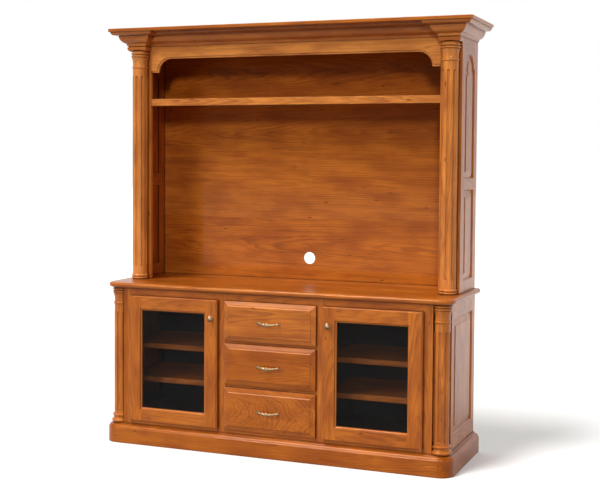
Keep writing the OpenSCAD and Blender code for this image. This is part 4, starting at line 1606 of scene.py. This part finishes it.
@dataclass
class Studio:
    """Pale floor, soft light and the photograph's camera.

    The camera was solved from the photograph's straight edges. The room is white behind the unit and darker
    before it, so that the front keeps its colour and the side takes a pale sheen.

    Attributes:
        camera_at: Place of the camera, mm.
        yaw_deg: Its turn to the left, degrees.
        pitch_deg: Its tilt upwards, degrees.
        roll_deg: Its roll, degrees.
        focal_px: Its focal length in pixels of the photograph.
        frame_px: Width of the photograph, pixels.
        rise_px: How far the picture is shifted, pixels.
        behind: Light from the room behind the unit.
        before: Light from the room before the unit.
        lamps: Soft distant lamps: name, elevation, angle from the front to the right and width in degrees, and
            strength.
        floor_size: Half the width of the floor, metres.
        floor_seen: Colour of the floor.
        floor_thrown: Colour of the light that it throws up at the unit.
    """

    camera_at: Corner = (2113.2, -5135.8, 1403.1)
    yaw_deg: float = 21.84
    pitch_deg: float = -2.61
    roll_deg: float = 0.40
    focal_px: float = 1156.6
    frame_px: float = 600.0
    rise_px: float = 40.0
    behind: float = 1.0
    before: float = 0.16
    lamps: tuple[tuple[str, float, float, float, float], ...] = (
        ("left", 34.0, -27.0, 24.0, 1.4),
        ("right", 15.0, 18.0, 8.0, 1.12),
        ("top", 62.0, -38.0, 20.0, 2.15),
        ("side", 14.0, 76.0, 10.0, 0.22),
    )
    floor_size: float = 40.0
    floor_seen: str = "#f6f5f3"
    floor_thrown: str = "#5f5d5b"

    def build(self) -> None:
        """Builds floor, world, lamps and camera."""
        self.floor()
        self.world()
        for lamp in self.lamps:
            self.lamp(*lamp)
        self.camera()
        LOG.info("studio: floor, %d lamps and camera", len(self.lamps))

    def floor(self) -> None:
        """A pale matt floor that shows white except in the unit's shadow, and throws little light up at it."""
        bm = bmesh.new()
        bmesh.ops.create_grid(bm, x_segments=1, y_segments=1, size=self.floor_size)
        mesh = bpy.data.meshes.new("studio_floor")
        bm.to_mesh(mesh)
        bm.free()
        floor = bpy.data.objects.new("studio_floor", mesh)
        bpy.context.scene.collection.objects.link(floor)
        material, node, shader = start_material("pale_matt_floor")
        thrown = node("LightPath", out="Is Diffuse Ray")
        shades = {0: thrown, 6: linear(self.floor_seen), 7: linear(self.floor_thrown)}
        feed(shader, {"Base Color": node("Mix", shades, **COLOURS), "Roughness": 0.9, "Specular IOR Level": 0.1})
        mesh.materials.append(material)

    def world(self) -> None:
        """Light from the room, and plain white where the camera looks past the floor."""
        world = bpy.data.worlds.new("studio")
        bpy.context.scene.world = world
        world.use_nodes = True
        tree = world.node_tree
        # Y of the direction runs from -1 straight before the unit to 1 straight behind it
        back = add_node(tree, "SeparateXYZ", (add_node(tree, "TexCoord", out="Generated"),), "Y")
        room = add_node(tree, "MapRange", (back, -0.35, 0.45, self.before, self.behind), **EASED)
        rays = add_node(tree, "LightPath").node.outputs
        seen = (rays["Is Camera Ray"], rays["Is Transmission Ray"])
        plain = add_node(tree, "Math", seen, operation="MAXIMUM")
        strength = add_node(tree, "MapRange", (plain, 0.0, 1.0, room, 1.0))
        feed(tree.nodes["Background"], {"Color": linear("#ffffff"), "Strength": strength})

    def lamp(self, name: str, elevation: float, turn: float, width: float, strength: float) -> None:
        """One soft distant lamp.

        Args:
            name: Its name.
            elevation: Its height over the horizon, degrees.
            turn: Its angle from the front towards the right, degrees.
            width: Its width as seen from the unit, degrees.
            strength: Its strength.
        """
        data = bpy.data.lights.new(f"lamp_{name}", "SUN")
        data.angle = math.radians(width)
        data.energy = strength
        lamp = bpy.data.objects.new(f"lamp_{name}", data)
        high, side = math.radians(elevation), math.radians(turn)
        way = Vector((math.cos(high) * math.sin(side), -math.cos(high) * math.cos(side), math.sin(high)))
        lamp.location = way * 6
        lamp.rotation_euler = (-way).to_track_quat("-Z", "Y").to_euler()
        bpy.context.scene.collection.objects.link(lamp)

    def camera(self) -> None:
        """Sets up the photograph's camera."""
        data = bpy.data.cameras.new("camera")
        data.sensor_width = 36.0
        data.lens = data.sensor_width * self.focal_px / self.frame_px
        data.shift_y = -self.rise_px / self.frame_px
        data.clip_end = 100.0
        camera = bpy.data.objects.new("camera", data)
        camera.matrix_world = Matrix.Translation(Vector(self.camera_at) * MM)
        for degrees, axis in ((self.yaw_deg, "Z"), (90 + self.pitch_deg, "X"), (self.roll_deg, "Z")):
            camera.matrix_world @= Matrix.Rotation(math.radians(degrees), 4, axis)
        bpy.context.scene.collection.objects.link(camera)
        bpy.context.scene.camera = camera


def main() -> None:
    """Dresses the frame, sub-assembly by sub-assembly, and sets up the studio."""
    logging.basicConfig(level=logging.INFO, format="%(message)s")
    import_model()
    bpy.context.scene.view_settings.view_transform = "Standard"
    for part in (Plinth(), Carcass(), BaseTop(), Hutch(), Crown()):
        part.build()
    for name, s in SIDES.items():
        for part in (base_column(name, s), hutch_column(name, s), Door(name, s)):
            part.build()
    drawers = (("bottom", 115.0, 202.0, 0.3), ("middle", 331.0, 194.0, 0.05), ("top", 539.0, 187.0, 0.02))
    for drawer in drawers:
        Drawer(*drawer).build()
    Studio().build()


if __name__ == "__main__":
    main()
